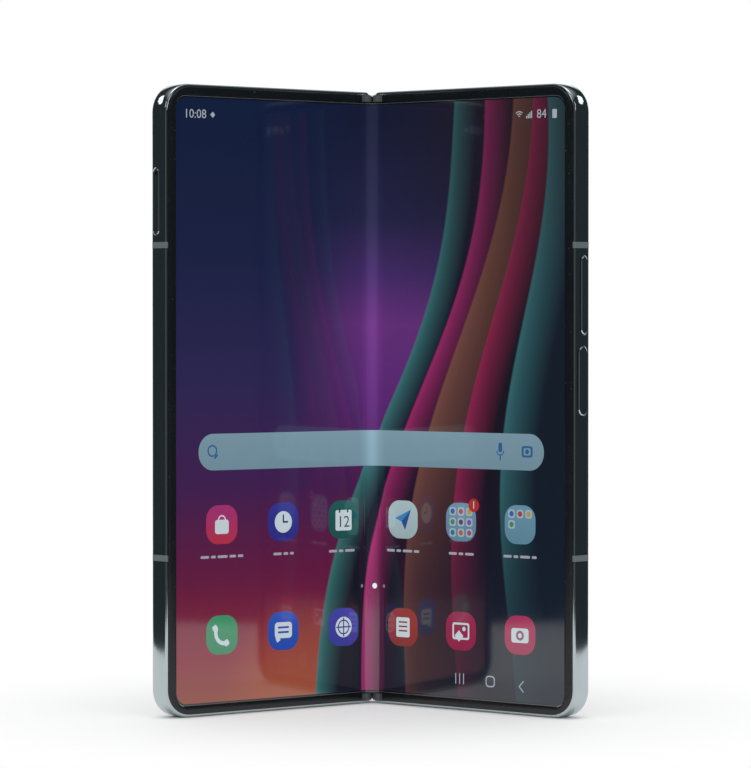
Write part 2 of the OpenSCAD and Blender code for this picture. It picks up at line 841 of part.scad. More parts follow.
module speaker_slots() {
  middle = (slot_count - 1) / 2;
  for (i = [0:slot_count - 1]) translate([speaker_x + (i - middle) * slot_pitch, speaker_y, -over]) {
    linear_extrude(end_wall + 2 * over) stadium(slot_length, slot_width);
  }
}

module speaker_box() {
  box([speaker_x - speaker_reach, floor_back_y + fit_gap, end_wall + fit_gap],
      [speaker_x + speaker_reach, floor_back_y + 2.4, end_wall + 14]);
}

module magnet_pair(y_far, starts) {
  for (z = starts) {
    box([pocket_side_x - fit_gap - magnet_width, board_seat_y, z], [pocket_side_x - fit_gap, y_far, z + magnet_length]);
  }
}

// Long round-ended bar that points out of the side, with a chamfer round its outer end.
// A chamfer below zero flares outward, for the mouth of an opening.
module side_bar(y, z, length, width, from, to, chamfer) {
  half = width / 2;
  edge = [[half, from], [half, to - abs(chamfer)], [half - chamfer, to]];
  translate([0, y, z]) rotate([0, 90, 0]) {
    for (s = [-1, 1]) translate([s * (length - width) / 2, 0, 0]) {
      rotate_extrude() polygon(concat([[0, from]], edge, [[0, to]]));
    }
    translate([(width - length) / 2, 0, 0]) rotate([90, 0, 90]) {
      linear_extrude(length - width) polygon(concat(edge, reversed(flipped(edge))));
    }
  }
}

// Opening for such a bar, with a chamfer round its mouth
module side_opening(y, z, length, width, from) {
  side_bar(y, z, length + 2 * key_gap, width + 2 * key_gap, from, side_x + over, -over - mouth_chamfer);
}

// Left half: cover screen on its back, card tray in its side

module tray_plate(gap, reach) {
  half = tray_length / 2 - tray_margin + gap;
  box([side_x - reach, tray_y - tray_thickness / 2 - gap, tray_z - half],
      [side_x - tray_lip + 0.1, tray_y + tray_thickness / 2 + gap, tray_z + half]);
}

module left_frame() {
  color("#1e2624") on_left() difference() {
    half_frame();
    side_opening(tray_y, tray_z, tray_length, tray_face_width, side_x - tray_lip - fit_gap);
    tray_plate(0.1, tray_depth);
    at_bottom() speaker_slots();
    at_both_ends() bracket_screw_set(screw_gap);
  }
}

module left_antenna_bands() {
  color("#5a6969") on_left() half_bands();
}

module left_bezel() {
  color("#0a0f12") on_left() half_bezel();
}

module left_display() {
  color("#241b45") on_left() half_display();
}

module left_support_plate() {
  color("#54595c") on_left() half_support_plate();
}

module left_end_caps() {
  color("#4a4f50") on_left() half_end_caps();
}

module left_bracket_top() {
  color("#83888c") on_left() half_bracket(left_rail_shift);
}

module left_bracket_bottom() {
  color("#83888c") on_left() at_bottom() half_bracket(left_rail_shift);
}

module left_bracket_screws() {
  color("#c3c6c8") on_left() half_bracket_screws();
}

module left_battery() {
  color("#2f3133") on_left() box([board_x, board_seat_y, lower_board_top - 9],
    [pocket_side_x - fit_gap - magnet_width - battery_gap, panel_seat_y - 0.1, board_low_z - 6]);
}

module cover_glass() {
  color("#0b0d10") on_left() slab(glass_seat_y, back_y) glass_outline(fit_gap);
}

module cover_display_panel() {
  color("#16181c") on_left() difference() {
    slab(panel_seat_y, glass_seat_y) {
      outline(battery_x + 0.3, end_wall + 0.3, pocket_side_x - 0.3, pocket_top_z - 0.3, 1, pocket_corner - 0.3);
    }
    button_post(front_camera_x, front_camera_z, 0, back_y, small_lens_radius + 0.2);
  }
}

module cover_camera() {
  color("#11161c") on_left() small_camera(floor_back_y + fit_gap, glass_seat_y - fit_gap);
}

module top_speaker() {
  color("#3a3c3e") on_left() at_bottom() speaker_box();
}

module left_circuit_board() {
  color("#1d4a3a") on_left() difference() {
    box([board_x, board_seat_y, board_low_z], [side_x - tray_depth - 1.5, board_back_y, pocket_top_z - 0.4]);
    at_bottom() box([speaker_x - speaker_reach - 0.3, 0, 0], [side_x, back_y, end_wall + 14.4]);
    button_post(front_camera_x, front_camera_z, 0, back_y, small_lens_radius + 0.3);
  }
}

module sim_reader() {
  half = tray_length / 2 - tray_margin + 0.15;
  high = tray_y - tray_thickness / 2;
  color("#a4a8aa") on_left() difference() {
    box([side_x - tray_depth - reader_wall - 0.2, floor_back_y + fit_gap, tray_z - half - reader_wall],
        [pocket_side_x - fit_gap, tray_y + tray_thickness / 2 - 0.1, tray_z + half + reader_wall]);
    box([side_x - tray_depth - 0.2, high - 0.15, tray_z - half], [pocket_side_x + over, back_y, tray_z + half]);
  }
}

module left_magnets() {
  color("#8c8f91") on_left() magnet_pair(panel_seat_y - 0.1, [upper_magnet_z, left_magnet_z]);
}

module sim_tray() {
  color("#222a28") on_left() difference() {
    union() {
      intersection() {
        side_bar(tray_y, tray_z, tray_length, tray_face_width, side_x - tray_lip, side_x, mouth_chamfer);
        half_blank();
      }
      tray_plate(0, tray_depth - 0.3);
    }
    translate([side_x - tray_depth / 2 - 0.7, 0, tray_z - 2]) box([-4.4, tray_y - 0.2, -4.6], [4.4, back_y, 4.6]);
    translate([side_x - 2 * tray_lip, tray_y, tray_z + tray_length / 2 - 1.2]) rotate([0, 90, 0]) {
      cylinder(h = 3 * tray_lip, r = eject_hole_radius);
    }
  }
}

// Right half: cameras on its back, keys in its side, charging port below

module stems(y, z, spread, gap, from) {
  for (s = spread) translate([from, y, z + s]) rotate([0, 90, 0]) {
    cylinder(h = side_x - key_depth + 0.1 - from, r = stem_radius + gap);
  }
}

module key_solid(y, z, length, width, spread) {
  side_bar(y, z, length, width, side_x - key_depth, side_x + key_rise, key_chamfer);
  stems(y, z, spread, 0, pocket_side_x - 0.1);
}

module key_room(y, z, length, width, spread) {
  side_opening(y, z, length, width, side_x - key_depth - key_travel - 0.05);
  stems(y, z, spread, key_gap / 2, pocket_side_x - over);
}

module port_outline(inset) {
  rotate([0, 0, 90]) stadium(port_width - 2 * inset, port_height - 2 * inset);
}

module right_frame() {
  color("#1e2624") on_right() difference() {
    half_frame();
    key_room(power_y, power_z, power_length, power_width, [0]);
    key_room(volume_y, volume_z, volume_length, volume_width, volume_spread);
    translate([port_x, port_y, -over]) linear_extrude(end_wall + 2 * over) port_outline(-fit_gap);
    speaker_slots();
    at_both_ends() bracket_screw_set(screw_gap);
  }
}

module right_antenna_bands() {
  color("#5a6969") on_right() half_bands();
}

module right_bezel() {
  color("#0a0f12") on_right() half_bezel();
}

module right_display() {
  color("#241b45") on_right() half_display();
}

module right_support_plate() {
  color("#54595c") on_right() half_support_plate();
}

module right_end_caps() {
  color("#4a4f50") on_right() half_end_caps();
}

module right_bracket_top() {
  color("#83888c") on_right() half_bracket(right_rail_shift);
}

module right_bracket_bottom() {
  color("#83888c") on_right() at_bottom() half_bracket(right_rail_shift);
}

module right_bracket_screws() {
  color("#c3c6c8") on_right() half_bracket_screws();
}

module right_battery() {
  color("#2f3133") on_right() box([board_x, board_seat_y, lower_board_top + battery_gap],
    [island_x - island_width / 2 - battery_gap, coil_y - 0.05, main_board_low_z - 2 * battery_gap]);
}

module rear_glass() {
  color("#22292a") on_right() difference() {
    slab(glass_seat_y, back_y) glass_outline(fit_gap);
    for (i = [-1:1]) button_post(island_x, island_z + i * lens_pitch, 0, back_y + over, lens_radius + 0.6);
    button_post(flash_x, flash_z, 0, back_y + over, flash_radius + fit_gap);
  }
}

module island_outline(inset) {
  translate([island_x, island_z]) stadium(island_height - 2 * inset, island_width - 2 * inset);
}

module camera_island() {
  color("#262d2e") on_right() difference() {
    union() {
      slab(back_y, back_y + island_rise - 0.3) island_outline(0);
      slab(back_y + island_rise - 0.3, back_y + island_rise) island_outline(0.3);
      for (i = [-1:1]) button_post(island_x, island_z + i * lens_pitch, back_y, back_y + island_rise + 0.2, lens_radius + 0.7);
    }
    for (i = [-1:1]) {
      button_post(island_x, island_z + i * lens_pitch, back_y - over, back_y + island_rise - 0.4, lens_radius - 0.6);
      button_post(island_x, island_z + i * lens_pitch, back_y + island_rise - 0.4, back_y + island_rise + over, lens_radius + fit_gap);
    }
  }
}

module camera_lenses() {
  color("#0a0e16") on_right() for (i = [-1:1]) {
    button_post(island_x, island_z + i * lens_pitch, back_y + island_rise - 0.4, back_y + island_rise, lens_radius);
  }
}

module camera_modules() {
  color("#3b3f42") on_right() for (i = [-1:1]) translate([island_x, 0, island_z + i * lens_pitch]) {
    box([-5, floor_back_y + fit_gap, -6], [5, glass_seat_y - 0.4, 6]);
    difference() {
      button_post(0, 0, glass_seat_y - 0.5, back_y + island_rise - 0.5, lens_radius - 0.8);
      button_post(0, 0, back_y, back_y + island_rise, 0.5 * lens_radius);
    }
  }
}

module flash_led() {
  color("#e8dfb0") on_right() button_post(flash_x, flash_z, glass_seat_y - 1, back_y, flash_radius);
}

module main_board() {
  color("#1d4a3a") on_right() difference() {
    box([board_x, board_seat_y, main_board_low_z], [main_board_x, board_back_y, pocket_top_z - 0.4]);
    button_post(front_camera_x, front_camera_z, 0, back_y, small_lens_radius + 0.3);
  }
}

module board_shields() {
  low = main_board_low_z + 1;
  right = shield_x + shield_width;
  color("#9ea2a4") on_right() {
    box([shield_x, board_back_y, low], [right, board_back_y + 1.4, low + shield_length]);
    box([small_shield_x, board_back_y, low], [main_board_x - 1, board_back_y + 1.2, low + 0.6 * shield_length]);
    box([shield_x, board_back_y, low + shield_length + 2], [right, board_back_y + 1.1, pocket_top_z - 2]);
  }
}

module charging_coil() {
  color("#b0703a") on_right() translate([0, 0, mid_z - coil_drop]) difference() {
    button_post(coil_x, 0, coil_y, glass_seat_y - 0.1, coil_radius);
    button_post(coil_x, 0, coil_y - over, back_y, coil_hole);
  }
}

module usb_port() {
  color("#9c9fa2") on_right() translate([port_x, port_y, 0]) {
    translate([0, 0, 0.5]) linear_extrude(port_length) difference() {
      port_outline(0);
      port_outline(port_wall);
    }
    translate([0, 0, 1.4]) linear_extrude(port_length - 0.9) rotate([0, 0, 90]) {
      square([0.7, port_width - 2.6], center = true);
    }
    translate([0, 0, port_length - 0.3]) linear_extrude(0.8) port_outline(port_wall / 2);
  }
}

module usb_board() {
  color("#1d4a3a") on_right() box([board_x, board_seat_y, port_length + 1.2],
    [speaker_x - speaker_reach - battery_gap, board_back_y, lower_board_top]);
}

module bottom_speaker() {
  color("#3a3c3e") on_right() speaker_box();
}

module vibration_motor() {
  color("#b5b8ba") on_right() {
    button_post(board_x + motor_radius + 2, 0.6 * lower_board_top, board_back_y, board_back_y + 2.1, motor_radius);
  }
}

module key_switches() {
  color("#7d6a3a") on_right() {
    switch_strip(power_y, power_z, power_length);
    switch_strip(volume_y, volume_z, volume_length);
  }
}

module switch_strip(y, z, length) {
  box([pocket_side_x - 0.7, y - 0.75, z - length / 2], [pocket_side_x - 0.1 - key_travel - 0.05, y + 0.75, z + length / 2]);
}

module under_display_camera() {
  color("#11161c") on_right() small_camera(panel_back_y + fit_gap, plate_back_y);
}

module right_magnets() {
  color("#8c8f91") on_right() magnet_pair(board_seat_y + 2.25, [lower_magnet_z, upper_magnet_z]);
}

module power_key() {
  color("#262e2c") on_right() key_solid(power_y, power_z, power_length, power_width, [0]);
}

module volume_key() {
  color("#262e2c") on_right() key_solid(volume_y, volume_z, volume_length, volume_width, volume_spread);
}

hinge_cover();
spine_caps();
hinge_base_top();
hinge_base_bottom();
hinge_shafts();
hinge_springs();
friction_washers();
hinge_screws();
fold_display();
left_arms();
right_arms();
left_idlers();
right_idlers();
left_frame();
left_antenna_bands();
left_bezel();
left_display();
left_support_plate();
left_end_caps();
left_bracket_top();
left_bracket_bottom();
left_bracket_screws();
left_battery();
cover_glass();
cover_display_panel();
cover_camera();
top_speaker();
left_circuit_board();
sim_reader();
left_magnets();
sim_tray();
right_frame();
right_antenna_bands();
right_bezel();
right_display();
right_support_plate();
right_end_caps();
right_bracket_top();
right_bracket_bottom();
right_bracket_screws();
right_battery();
rear_glass();
camera_island();
camera_lenses();
camera_modules();
flash_led();
main_board();
board_shields();
charging_coil();
usb_port();
usb_board();
bottom_speaker();
vibration_motor();
key_switches();
under_display_camera();
right_magnets();
power_key();
volume_key();
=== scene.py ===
"""Foldable phone standing half open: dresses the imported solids, lights them and sets the camera."""
import json
import math

import bpy
import numpy as np
from mathutils import Matrix, Vector


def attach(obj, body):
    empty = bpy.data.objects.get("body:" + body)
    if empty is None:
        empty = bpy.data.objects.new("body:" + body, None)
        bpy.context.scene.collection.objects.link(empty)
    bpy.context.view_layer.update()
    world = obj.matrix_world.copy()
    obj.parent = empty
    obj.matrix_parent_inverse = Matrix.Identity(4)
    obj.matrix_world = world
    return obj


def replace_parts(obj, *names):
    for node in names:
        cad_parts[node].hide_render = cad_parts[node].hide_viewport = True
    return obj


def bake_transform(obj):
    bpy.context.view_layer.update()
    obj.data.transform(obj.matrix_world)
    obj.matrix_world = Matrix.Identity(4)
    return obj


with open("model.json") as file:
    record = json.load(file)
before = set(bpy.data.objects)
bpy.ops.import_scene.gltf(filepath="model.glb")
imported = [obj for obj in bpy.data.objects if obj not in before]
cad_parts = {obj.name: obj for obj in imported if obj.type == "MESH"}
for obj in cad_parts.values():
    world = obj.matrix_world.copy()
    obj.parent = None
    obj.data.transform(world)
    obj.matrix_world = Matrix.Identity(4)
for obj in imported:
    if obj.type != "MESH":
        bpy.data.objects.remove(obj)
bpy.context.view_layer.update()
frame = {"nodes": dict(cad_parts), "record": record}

MM = 0.001
DM = 0.1

# Fold geometry, in metres and in the phone's own frame. At rest each half is turned from flat by the fold angle.
FOLD_ANGLE = math.radians(39.65)
JOINTS = {joint["name"]: joint for joint in frame["record"]["behaviour"]["joints"]}
AXIS_X, AXIS_Y = JOINTS["right_fold"]["pos_m"][:2]
SCREEN_RISE = 0.95 * MM            # screen surface in front of the fold axes
SCREEN_Y = AXIS_Y - SCREEN_RISE    # the same surface when the phone lies flat
SCREEN_DEPTH = 0.65 * MM
SCREEN_FOOT, SCREEN_TOP = 2.6 * MM, 152.3 * MM
SCREEN_REACH = 62.65 * MM          # from the fold to its outer edge, measured flat
PICTURE_WIDTH, PICTURE_HEIGHT = 130 * MM, 155 * MM
FLEX_REACH = 3.0 * MM              # how far past its axis each side of the screen still bends
FLEX_X = AXIS_X + FLEX_REACH * math.cos(FOLD_ANGLE) - SCREEN_RISE * math.sin(FOLD_ANGLE)
STRIPS = 24                        # strips that the bending zone is cut into on each side
STRIP = 0.24 * MM
SIDES = {"left": -1, "right": 1}


# ---------------------------------------------------------------- modelling helpers

def only(obj):
    """Leaves obj alone selected and active."""
    bpy.ops.object.select_all(action="DESELECT")
    obj.select_set(True)
    bpy.context.view_layer.objects.active = obj


def settle(obj, name):
    """Names a new piece and moves its place into its mesh."""
    obj.name = obj.data.name = name
    only(obj)
    bpy.ops.object.transform_apply(location=True, rotation=True, scale=True)
    return obj


def edit(obj, select="SELECT"):
    """Enters edit mode with everything selected, with nothing, or (None) with what has been picked before."""
    only(obj)
    bpy.ops.object.mode_set(mode="EDIT")
    if select:
        bpy.ops.mesh.select_all(action=select)


def done():
    """Leaves edit mode."""
    bpy.ops.object.mode_set(mode="OBJECT")


def twin(obj):
    """A copy of a piece, with a mesh of its own."""
    copy = obj.copy()
    copy.data = obj.data.copy()
    bpy.context.collection.objects.link(copy)
    return copy


def join(name, parts):
    """Joins the parts into the first and gives it the name."""
    bpy.ops.object.select_all(action="DESELECT")
    for part in parts:
        part.select_set(True)
    bpy.context.view_layer.objects.active = parts[0]
    if len(parts) > 1:
        bpy.ops.object.join()
    parts[0].name = parts[0].data.name = name
    return parts[0]


# The flat shapes below lie on the flat screen and face the viewer. They take millimetres, and lift is how far
# they stand before the screen.

def pane(x0, z0, x1, z1, corner=0.0, steps=6, lift=0.0, turn=0.0):
    """Rectangle with rounded corners."""
    middle = ((x0 + x1) / 2 * MM, SCREEN_Y - lift * MM, (z0 + z1) / 2 * MM)
    bpy.ops.mesh.primitive_plane_add(size=1, location=middle, rotation=(math.pi / 2, -turn, 0))
    obj = bpy.context.active_object
    obj.scale = ((x1 - x0) * MM, (z1 - z0) * MM, 1)
    settle(obj, "pane")
    if corner:
        edit(obj)
        bpy.ops.mesh.bevel(offset=corner * MM, segments=steps, affect="VERTICES")
        done()
    return obj


def disc(x, z, radius, sides=28, lift=0.0):
    """Round plate."""
    bpy.ops.mesh.primitive_circle_add(vertices=sides, radius=radius * MM, fill_type="NGON",
                                      location=(x * MM, SCREEN_Y - lift * MM, z * MM),
                                      rotation=(math.pi / 2, 0, 0))
    return settle(bpy.context.active_object, "disc")


def ring(x, z, radius, width, sides=28, lift=0.0, start=None, end=None):
    """Ring, or the part of it between two angles in degrees."""
    obj = disc(x, z, radius, sides, lift)
    edit(obj)
    bpy.ops.mesh.inset(thickness=width * MM)
    bpy.ops.mesh.delete(type="FACE")
    done()
    if start is not None:
        for face in obj.data.polygons:
            angle = math.degrees(math.atan2(face.center.z - z * MM, face.center.x - x * MM)) % 360
            face.select = not (start <= angle <= end or start <= angle + 360 <= end)
        edit(obj, None)
        bpy.ops.mesh.delete(type="FACE")
        done()
    return obj


def outline(points, lift=0.0):
    """Plate with the given corners, counter-clockwise."""
    obj = disc(0, 0, 1, len(points), lift)
    for vertex, (x, z) in zip(obj.data.vertices, points):
        vertex.co.x, vertex.co.z = x * MM, z * MM
    obj.data.update()
    return obj


def figures(text, x, z, height, lift=0.0):
    """Plain digits, centred on a place."""
    bpy.ops.object.text_add(location=(0, 0, 0))
    obj = bpy.context.active_object
    obj.data.body = text
    obj.data.align_x = "CENTER"
    obj.data.align_y = "CENTER"
    obj.data.size = height * MM * 1.4      # a digit is 1 / 1.4 of the text size high
    obj.data.resolution_u = 3
    only(obj)
    bpy.ops.object.convert(target="MESH")
    obj = bpy.context.active_object
    obj.location = (x * MM, SCREEN_Y - lift * MM, z * MM)
    obj.rotation_euler = (math.pi / 2, 0, 0)
    return settle(obj, "figures")


def linear(v):
    """A 0 to 255 display value as linear light."""
    v /= 255
    return v / 12.92 if v <= 0.04045 else ((v + 0.055) / 1.055) ** 2.4


def rgb(*values):
    """A colour for a socket from three display values."""
    return [*(linear(v) for v in values), 1.0]


def tint(obj, low, high=None):
    """Paints a piece of the picture, shading from its lower to its upper edge."""
    mesh = obj.data
    high = high or low
    paint = mesh.color_attributes.new("Tint", "FLOAT_COLOR", "CORNER")
    zs = [v.co.z for v in mesh.vertices]
    base, span = min(zs), max(max(zs) - min(zs), 1e-9)
    for loop in mesh.loops:
        t = (mesh.vertices[loop.vertex_index].co.z - base) / span
        paint.data[loop.index].color = rgb(*(a + (b - a) * t for a, b in zip(low, high)))
    return obj


def fold(obj, side):
    """Bends a piece that was made flat into the half-open rest shape."""
    sign = SIDES[side]
    mesh = obj.data
    co = np.empty(len(mesh.vertices) * 3)
    mesh.vertices.foreach_get("co", co)
    co = co.reshape(-1, 3)
    out = (co[:, 0] - sign * AXIS_X) * sign
    depth = co[:, 1] - AXIS_Y
    # A point's share of the turn depends on where the turn takes it, so the two are found together
    share = np.ones(len(co))
    for _ in range(80):
        turn = share * FOLD_ANGLE
        x = AXIS_X + out * np.cos(turn) + depth * np.sin(turn)
        t = np.clip(x / FLEX_X, 0, 1)
        share = 0.5 * share + 0.5 * t * t * (3 - 2 * t)
    turn = share * FOLD_ANGLE
    co[:, 0] = sign * (AXIS_X + out * np.cos(turn) + depth * np.sin(turn))
    co[:, 1] = AXIS_Y - out * np.sin(turn) + depth * np.cos(turn)
    mesh.vertices.foreach_set("co", co.ravel())
    mesh.update()
    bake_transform(obj)


def strips(obj, side):
    """Cuts a flat piece into narrow strips where it bends."""
    edit(obj)
    for i in range(1, STRIPS + 1):
        bpy.ops.mesh.select_all(action="SELECT")
        bpy.ops.mesh.bisect(plane_co=(SIDES[side] * i * STRIP, 0, 0), plane_no=(1, 0, 0))
    done()


def halve(obj, fill=False):
    """Cuts a flat piece at the fold, and gives its left and right parts."""
    halves = {"right": obj, "left": twin(obj)}
    for side, half in halves.items():
        edit(half)
        bpy.ops.mesh.bisect(plane_co=(0, 0, 0), plane_no=(1, 0, 0), use_fill=fill,
                            clear_inner=side == "right", clear_outer=side == "left")
        done()
        strips(half, side)
    return halves


def turn_out(obj, side):
    """Swings a stiff piece that was made flat to the half-open rest shape."""
    sign = SIDES[side]
    turn = Matrix.Rotation(-sign * FOLD_ANGLE, 4, "Z")
    pivot = Vector((sign * AXIS_X, AXIS_Y, 0))
    obj.data.transform(Matrix.Translation(pivot) @ turn @ Matrix.Translation(-pivot))
    obj.data.update()


# ---------------------------------------------------------------- shader helpers

class Nodes:
    """Short names for building one node tree."""

    def __init__(self, tree):
        self.tree = tree

    def add(self, kind, **settings):
        node = self.tree.nodes.new("ShaderNode" + kind)
        for key, value in settings.items():
            setattr(node, key, value)
        return node

    def link(self, source, target):
        self.tree.links.new(source, target)

    def feed(self, socket, value):
        """Links an output to the socket, or sets a plain value on it."""
        if hasattr(value, "is_output"):
            self.link(value, socket)
        else:
            socket.default_value = value

    def place(self):
        """The piece's own coordinates, in metres."""
        return self.add("TexCoord").outputs["Object"]

    def split(self, vector):
        node = self.add("SeparateXYZ")
        self.feed(node.inputs["Vector"], vector)
        return node.outputs["X"], node.outputs["Y"], node.outputs["Z"]

    def stretch(self, vector, scale, rotation=(0, 0, 0)):
        node = self.add("Mapping")
        self.feed(node.inputs["Vector"], vector)
        node.inputs["Scale"].default_value = scale
        node.inputs["Rotation"].default_value = rotation
        return node.outputs["Vector"]

    def scaled(self, colour, factor):
        """A colour times a factor."""
        node = self.add("VectorMath", operation="SCALE")
        self.feed(node.inputs[0], colour)
        self.feed(node.inputs["Scale"], factor)
        return node.outputs["Vector"]

    def math(self, operation, a, b=0.0, clamp=False):
        node = self.add("Math", operation=operation, use_clamp=clamp)
        self.feed(node.inputs[0], a)
        self.feed(node.inputs[1], b)
        return node.outputs[0]

    def plus(self, *values):
        """The sum of all the values."""
        total = values[0]
        for value in values[1:]:
            total = self.math("ADD", total, value)
        return total

    def times(self, *values):
        """The product of all the values."""
        total = values[0]
        for value in values[1:]:
            total = self.math("MULTIPLY", total, value)
        return total

    def minus(self, a, b):
        return self.math("SUBTRACT", a, b)

    def smooth(self, value, low, high):
        """0 at low, 1 at high, with a soft step between them."""
        node = self.add("MapRange", interpolation_type="SMOOTHSTEP")
        self.feed(node.inputs["Value"], value)
        node.inputs["From Min"].default_value = low
        node.inputs["From Max"].default_value = high
        return node.outputs["Result"]

    def mix(self, amount, a, b):
        node = self.add("Mix", data_type="RGBA")
        self.feed(node.inputs["Factor"], amount)
        self.feed(node.inputs["A"], a)
        self.feed(node.inputs["B"], b)
        return node.outputs["Result"]

    def ramp(self, value, stops):
        """Colours by height, each stop a position from 0 to 1 and a colour."""
        node = self.add("ValToRGB")
        elements = node.color_ramp.elements
        while len(elements) > 1:
            elements.remove(elements[-1])
        elements[0].position, elements[0].color = stops[0]
        for position, colour in stops[1:]:
            elements.new(position).color = colour
        self.feed(node.inputs[0], value)
        return node.outputs["Color"]

    def noise(self, vector, scale, detail=2.0, roughness=0.5, distortion=0.0):
        node = self.add("TexNoise")
        self.feed(node.inputs["Vector"], vector)
        self.feed(node.inputs["Scale"], scale)
        node.inputs["Detail"].default_value = detail
        node.inputs["Roughness"].default_value = roughness
        node.inputs["Distortion"].default_value = distortion
        return node.outputs["Fac"]


def group(name, inputs, outputs):
    """New shader node group with named sockets: gives its helper, what it is given and what it puts out."""
    tree = bpy.data.node_groups.new(name, "ShaderNodeTree")
    for label, kind, value in inputs:
        socket = tree.interface.new_socket(label, in_out="INPUT", socket_type="NodeSocket" + kind)
        socket.default_value = value
    for label, kind in outputs:
        tree.interface.new_socket(label, in_out="OUTPUT", socket_type="NodeSocket" + kind)
    return Nodes(tree), tree.nodes.new("NodeGroupInput").outputs, tree.nodes.new("NodeGroupOutput").inputs


def surface_group():
    """Fine mottling, grain and dust that every solid finish shares."""
    n, given, out = group("Surface variation", [
        ("Base", "Color", (0.5, 0.5, 0.5, 1)), ("Roughness", "Float", 0.4),
        ("Mottle", "Float", 0.1), ("Grain scale", "Float", 900.0), ("Grain", "Float", 0.2),
        ("Dust", "Float", 0.0),
    ], [("Color", "Color"), ("Roughness", "Float"), ("Height", "Float")])
    place = n.place()
    clouds = n.noise(place, 60.0, detail=3.0)
    grain = n.noise(place, given["Grain scale"], detail=3.0)
    shift = n.times(n.minus(clouds, 0.5), given["Mottle"])
    fine = n.minus(grain, 0.5)
    shaded = n.scaled(given["Base"], n.plus(1.0, shift, n.times(fine, given["Mottle"], 0.6)))
    specks = n.smooth(n.noise(place, 1500.0, detail=1.0), 0.72, 0.78)
    dusty = n.mix(n.times(specks, given["Dust"]), shaded, (0.5, 0.5, 0.48, 1))
    n.link(dusty, out["Color"])
    rough = n.plus(given["Roughness"], n.times(shift, 1.2))
    rough = n.math("ADD", rough, n.times(fine, given["Grain"], 0.2), clamp=True)
    n.link(rough, out["Roughness"])
    n.link(n.times(grain, given["Grain"]), out["Height"])
    return n.tree


def smudge_group():
    """Faint wiped streaks and finger marks in the gloss of glass and screens."""
    n, given, out = group("Finger smudges", [("Roughness", "Float", 0.05), ("Amount", "Float", 0.05)],
                          [("Roughness", "Float")])
    place = n.place()
    slanted = n.stretch(place, (1.0, 1.0, 0.35), rotation=(0, 0.6, 0))
    wipe = n.smooth(n.noise(slanted, 45.0, 4.0, 0.6, 0.6), 0.45, 0.75)
    fine = n.noise(place, 600.0)
    total = n.times(n.plus(wipe, n.times(fine, 0.25)), given["Amount"])
    n.link(n.math("ADD", given["Roughness"], total, clamp=True), out["Roughness"])
    return n.tree


def brush_group():
    """Fine lines along the height of the phone, as drawn or brushed metal has."""
    n, given, out = group("Brushed lines", [("Roughness", "Float", 0.2), ("Amount", "Float", 0.1)],
                          [("Roughness", "Float"), ("Height", "Float")])
    lines = n.noise(n.stretch(n.place(), (1.0, 1.0, 0.02)), 4000.0, 3.0, 0.6)
    shift = n.times(n.minus(lines, 0.5), given["Amount"])
    n.link(n.math("ADD", given["Roughness"], shift, clamp=True), out["Roughness"])
    n.link(n.times(lines, given["Amount"]), out["Height"])
    return n.tree


def crown_group():
    """Height of a slight crown across the thickness of each half, so that its sides catch light as narrow streaks."""
    n, given, out = group("Crowned side", [("Radius", "Float", 0.012)], [("Height", "Float")])
    x, y, _ = n.split(n.place())
    outward = n.minus(n.math("ABSOLUTE", x), AXIS_X)
    depth = n.plus(n.times(outward, math.sin(FOLD_ANGLE)), n.times(n.minus(y, AXIS_Y), math.cos(FOLD_ANGLE)))
    off = n.minus(depth, 2.0 * MM)     # the crown's ridge lies 2 mm behind the fold axis
    n.link(n.math("DIVIDE", n.times(off, off, -0.5), given["Radius"]), out["Height"])
    return n.tree


def ribbon_group():
    """One layer of the wallpaper: a wavy bright edge that fades into a deep colour on one side."""
    n, given, out = group("Ribbon of light", [
        ("Below", "Color", (0, 0, 0, 1)), ("Place", "Vector", (0, 0, 0)), ("Turn", "Float", 0.0),
        ("Edge", "Float", 0.0), ("Swing", "Float", 0.05), ("Pitch", "Float", 4.0), ("Phase", "Float", 0.0),
        ("Glow", "Float", 0.1), ("Bright", "Color", (1, 1, 1, 1)), ("Deep", "Color", (0, 0, 0, 1)),
    ], [("Color", "Color")])
    turned = n.add("VectorRotate", rotation_type="Z_AXIS")
    n.link(given["Place"], turned.inputs["Vector"])
    n.link(given["Turn"], turned.inputs["Angle"])
    along, across, _ = n.split(turned.outputs["Vector"])
    wave = n.math("SINE", n.plus(n.times(along, given["Pitch"]), given["Phase"]))
    edge = n.plus(given["Edge"], n.times(wave, given["Swing"]))
    depth = n.minus(edge, across)
    fade = n.math("POWER", n.math("DIVIDE", depth, given["Glow"], clamp=True), 0.55)
    layer = n.mix(fade, given["Bright"], given["Deep"])
    n.link(n.mix(n.smooth(depth, -0.004, 0.004), given["Below"], layer), out["Color"])
    return n.tree


def crease_sheen_group():
    """Painted sheen: the crease faces the viewer squarely, so the lit picture looks brighter along it, and this band
    paints that brightening in by place.
    """
    n, given, out = group("Painted crease sheen", [("Color", "Color", (0, 0, 0, 1)), ("Gain", "Float", 0.5)],
                          [("Color", "Color")])
    x, _, _ = n.split(n.place())
    # Painted sheen: the glow is raised by up to the gain within 3.2 mm of the crease
    near = n.smooth(n.math("ABSOLUTE", x), 3.2 * MM, 0.0)
    n.link(n.scaled(given["Color"], n.plus(1.0, n.times(near, given["Gain"]))), out["Color"])
    return n.tree


SURFACE = surface_group()
SMUDGE = smudge_group()
BRUSH = brush_group()
CROWN = crown_group()
RIBBON = ribbon_group()
# The crease's painted sheen, and how much brighter it paints the glow there
PAINTED_CREASE_SHEEN = crease_sheen_group()
PAINTED_SHEEN_GAIN = 0.55


def new_material(name):
    """New node material: gives it, its helper and its Principled shader."""
    mat = bpy.data.materials.new(name)
    mat.use_nodes = True
    return mat, Nodes(mat.node_tree), mat.node_tree.nodes["Principled BSDF"]


def put(n, tree, **values):
    """Places a group with its own values and gives its outputs."""
    node = n.add("Group")
    node.node_tree = tree
    for key, value in values.items():
        n.feed(node.inputs[key.replace("_", " ")], value)
    return node.outputs


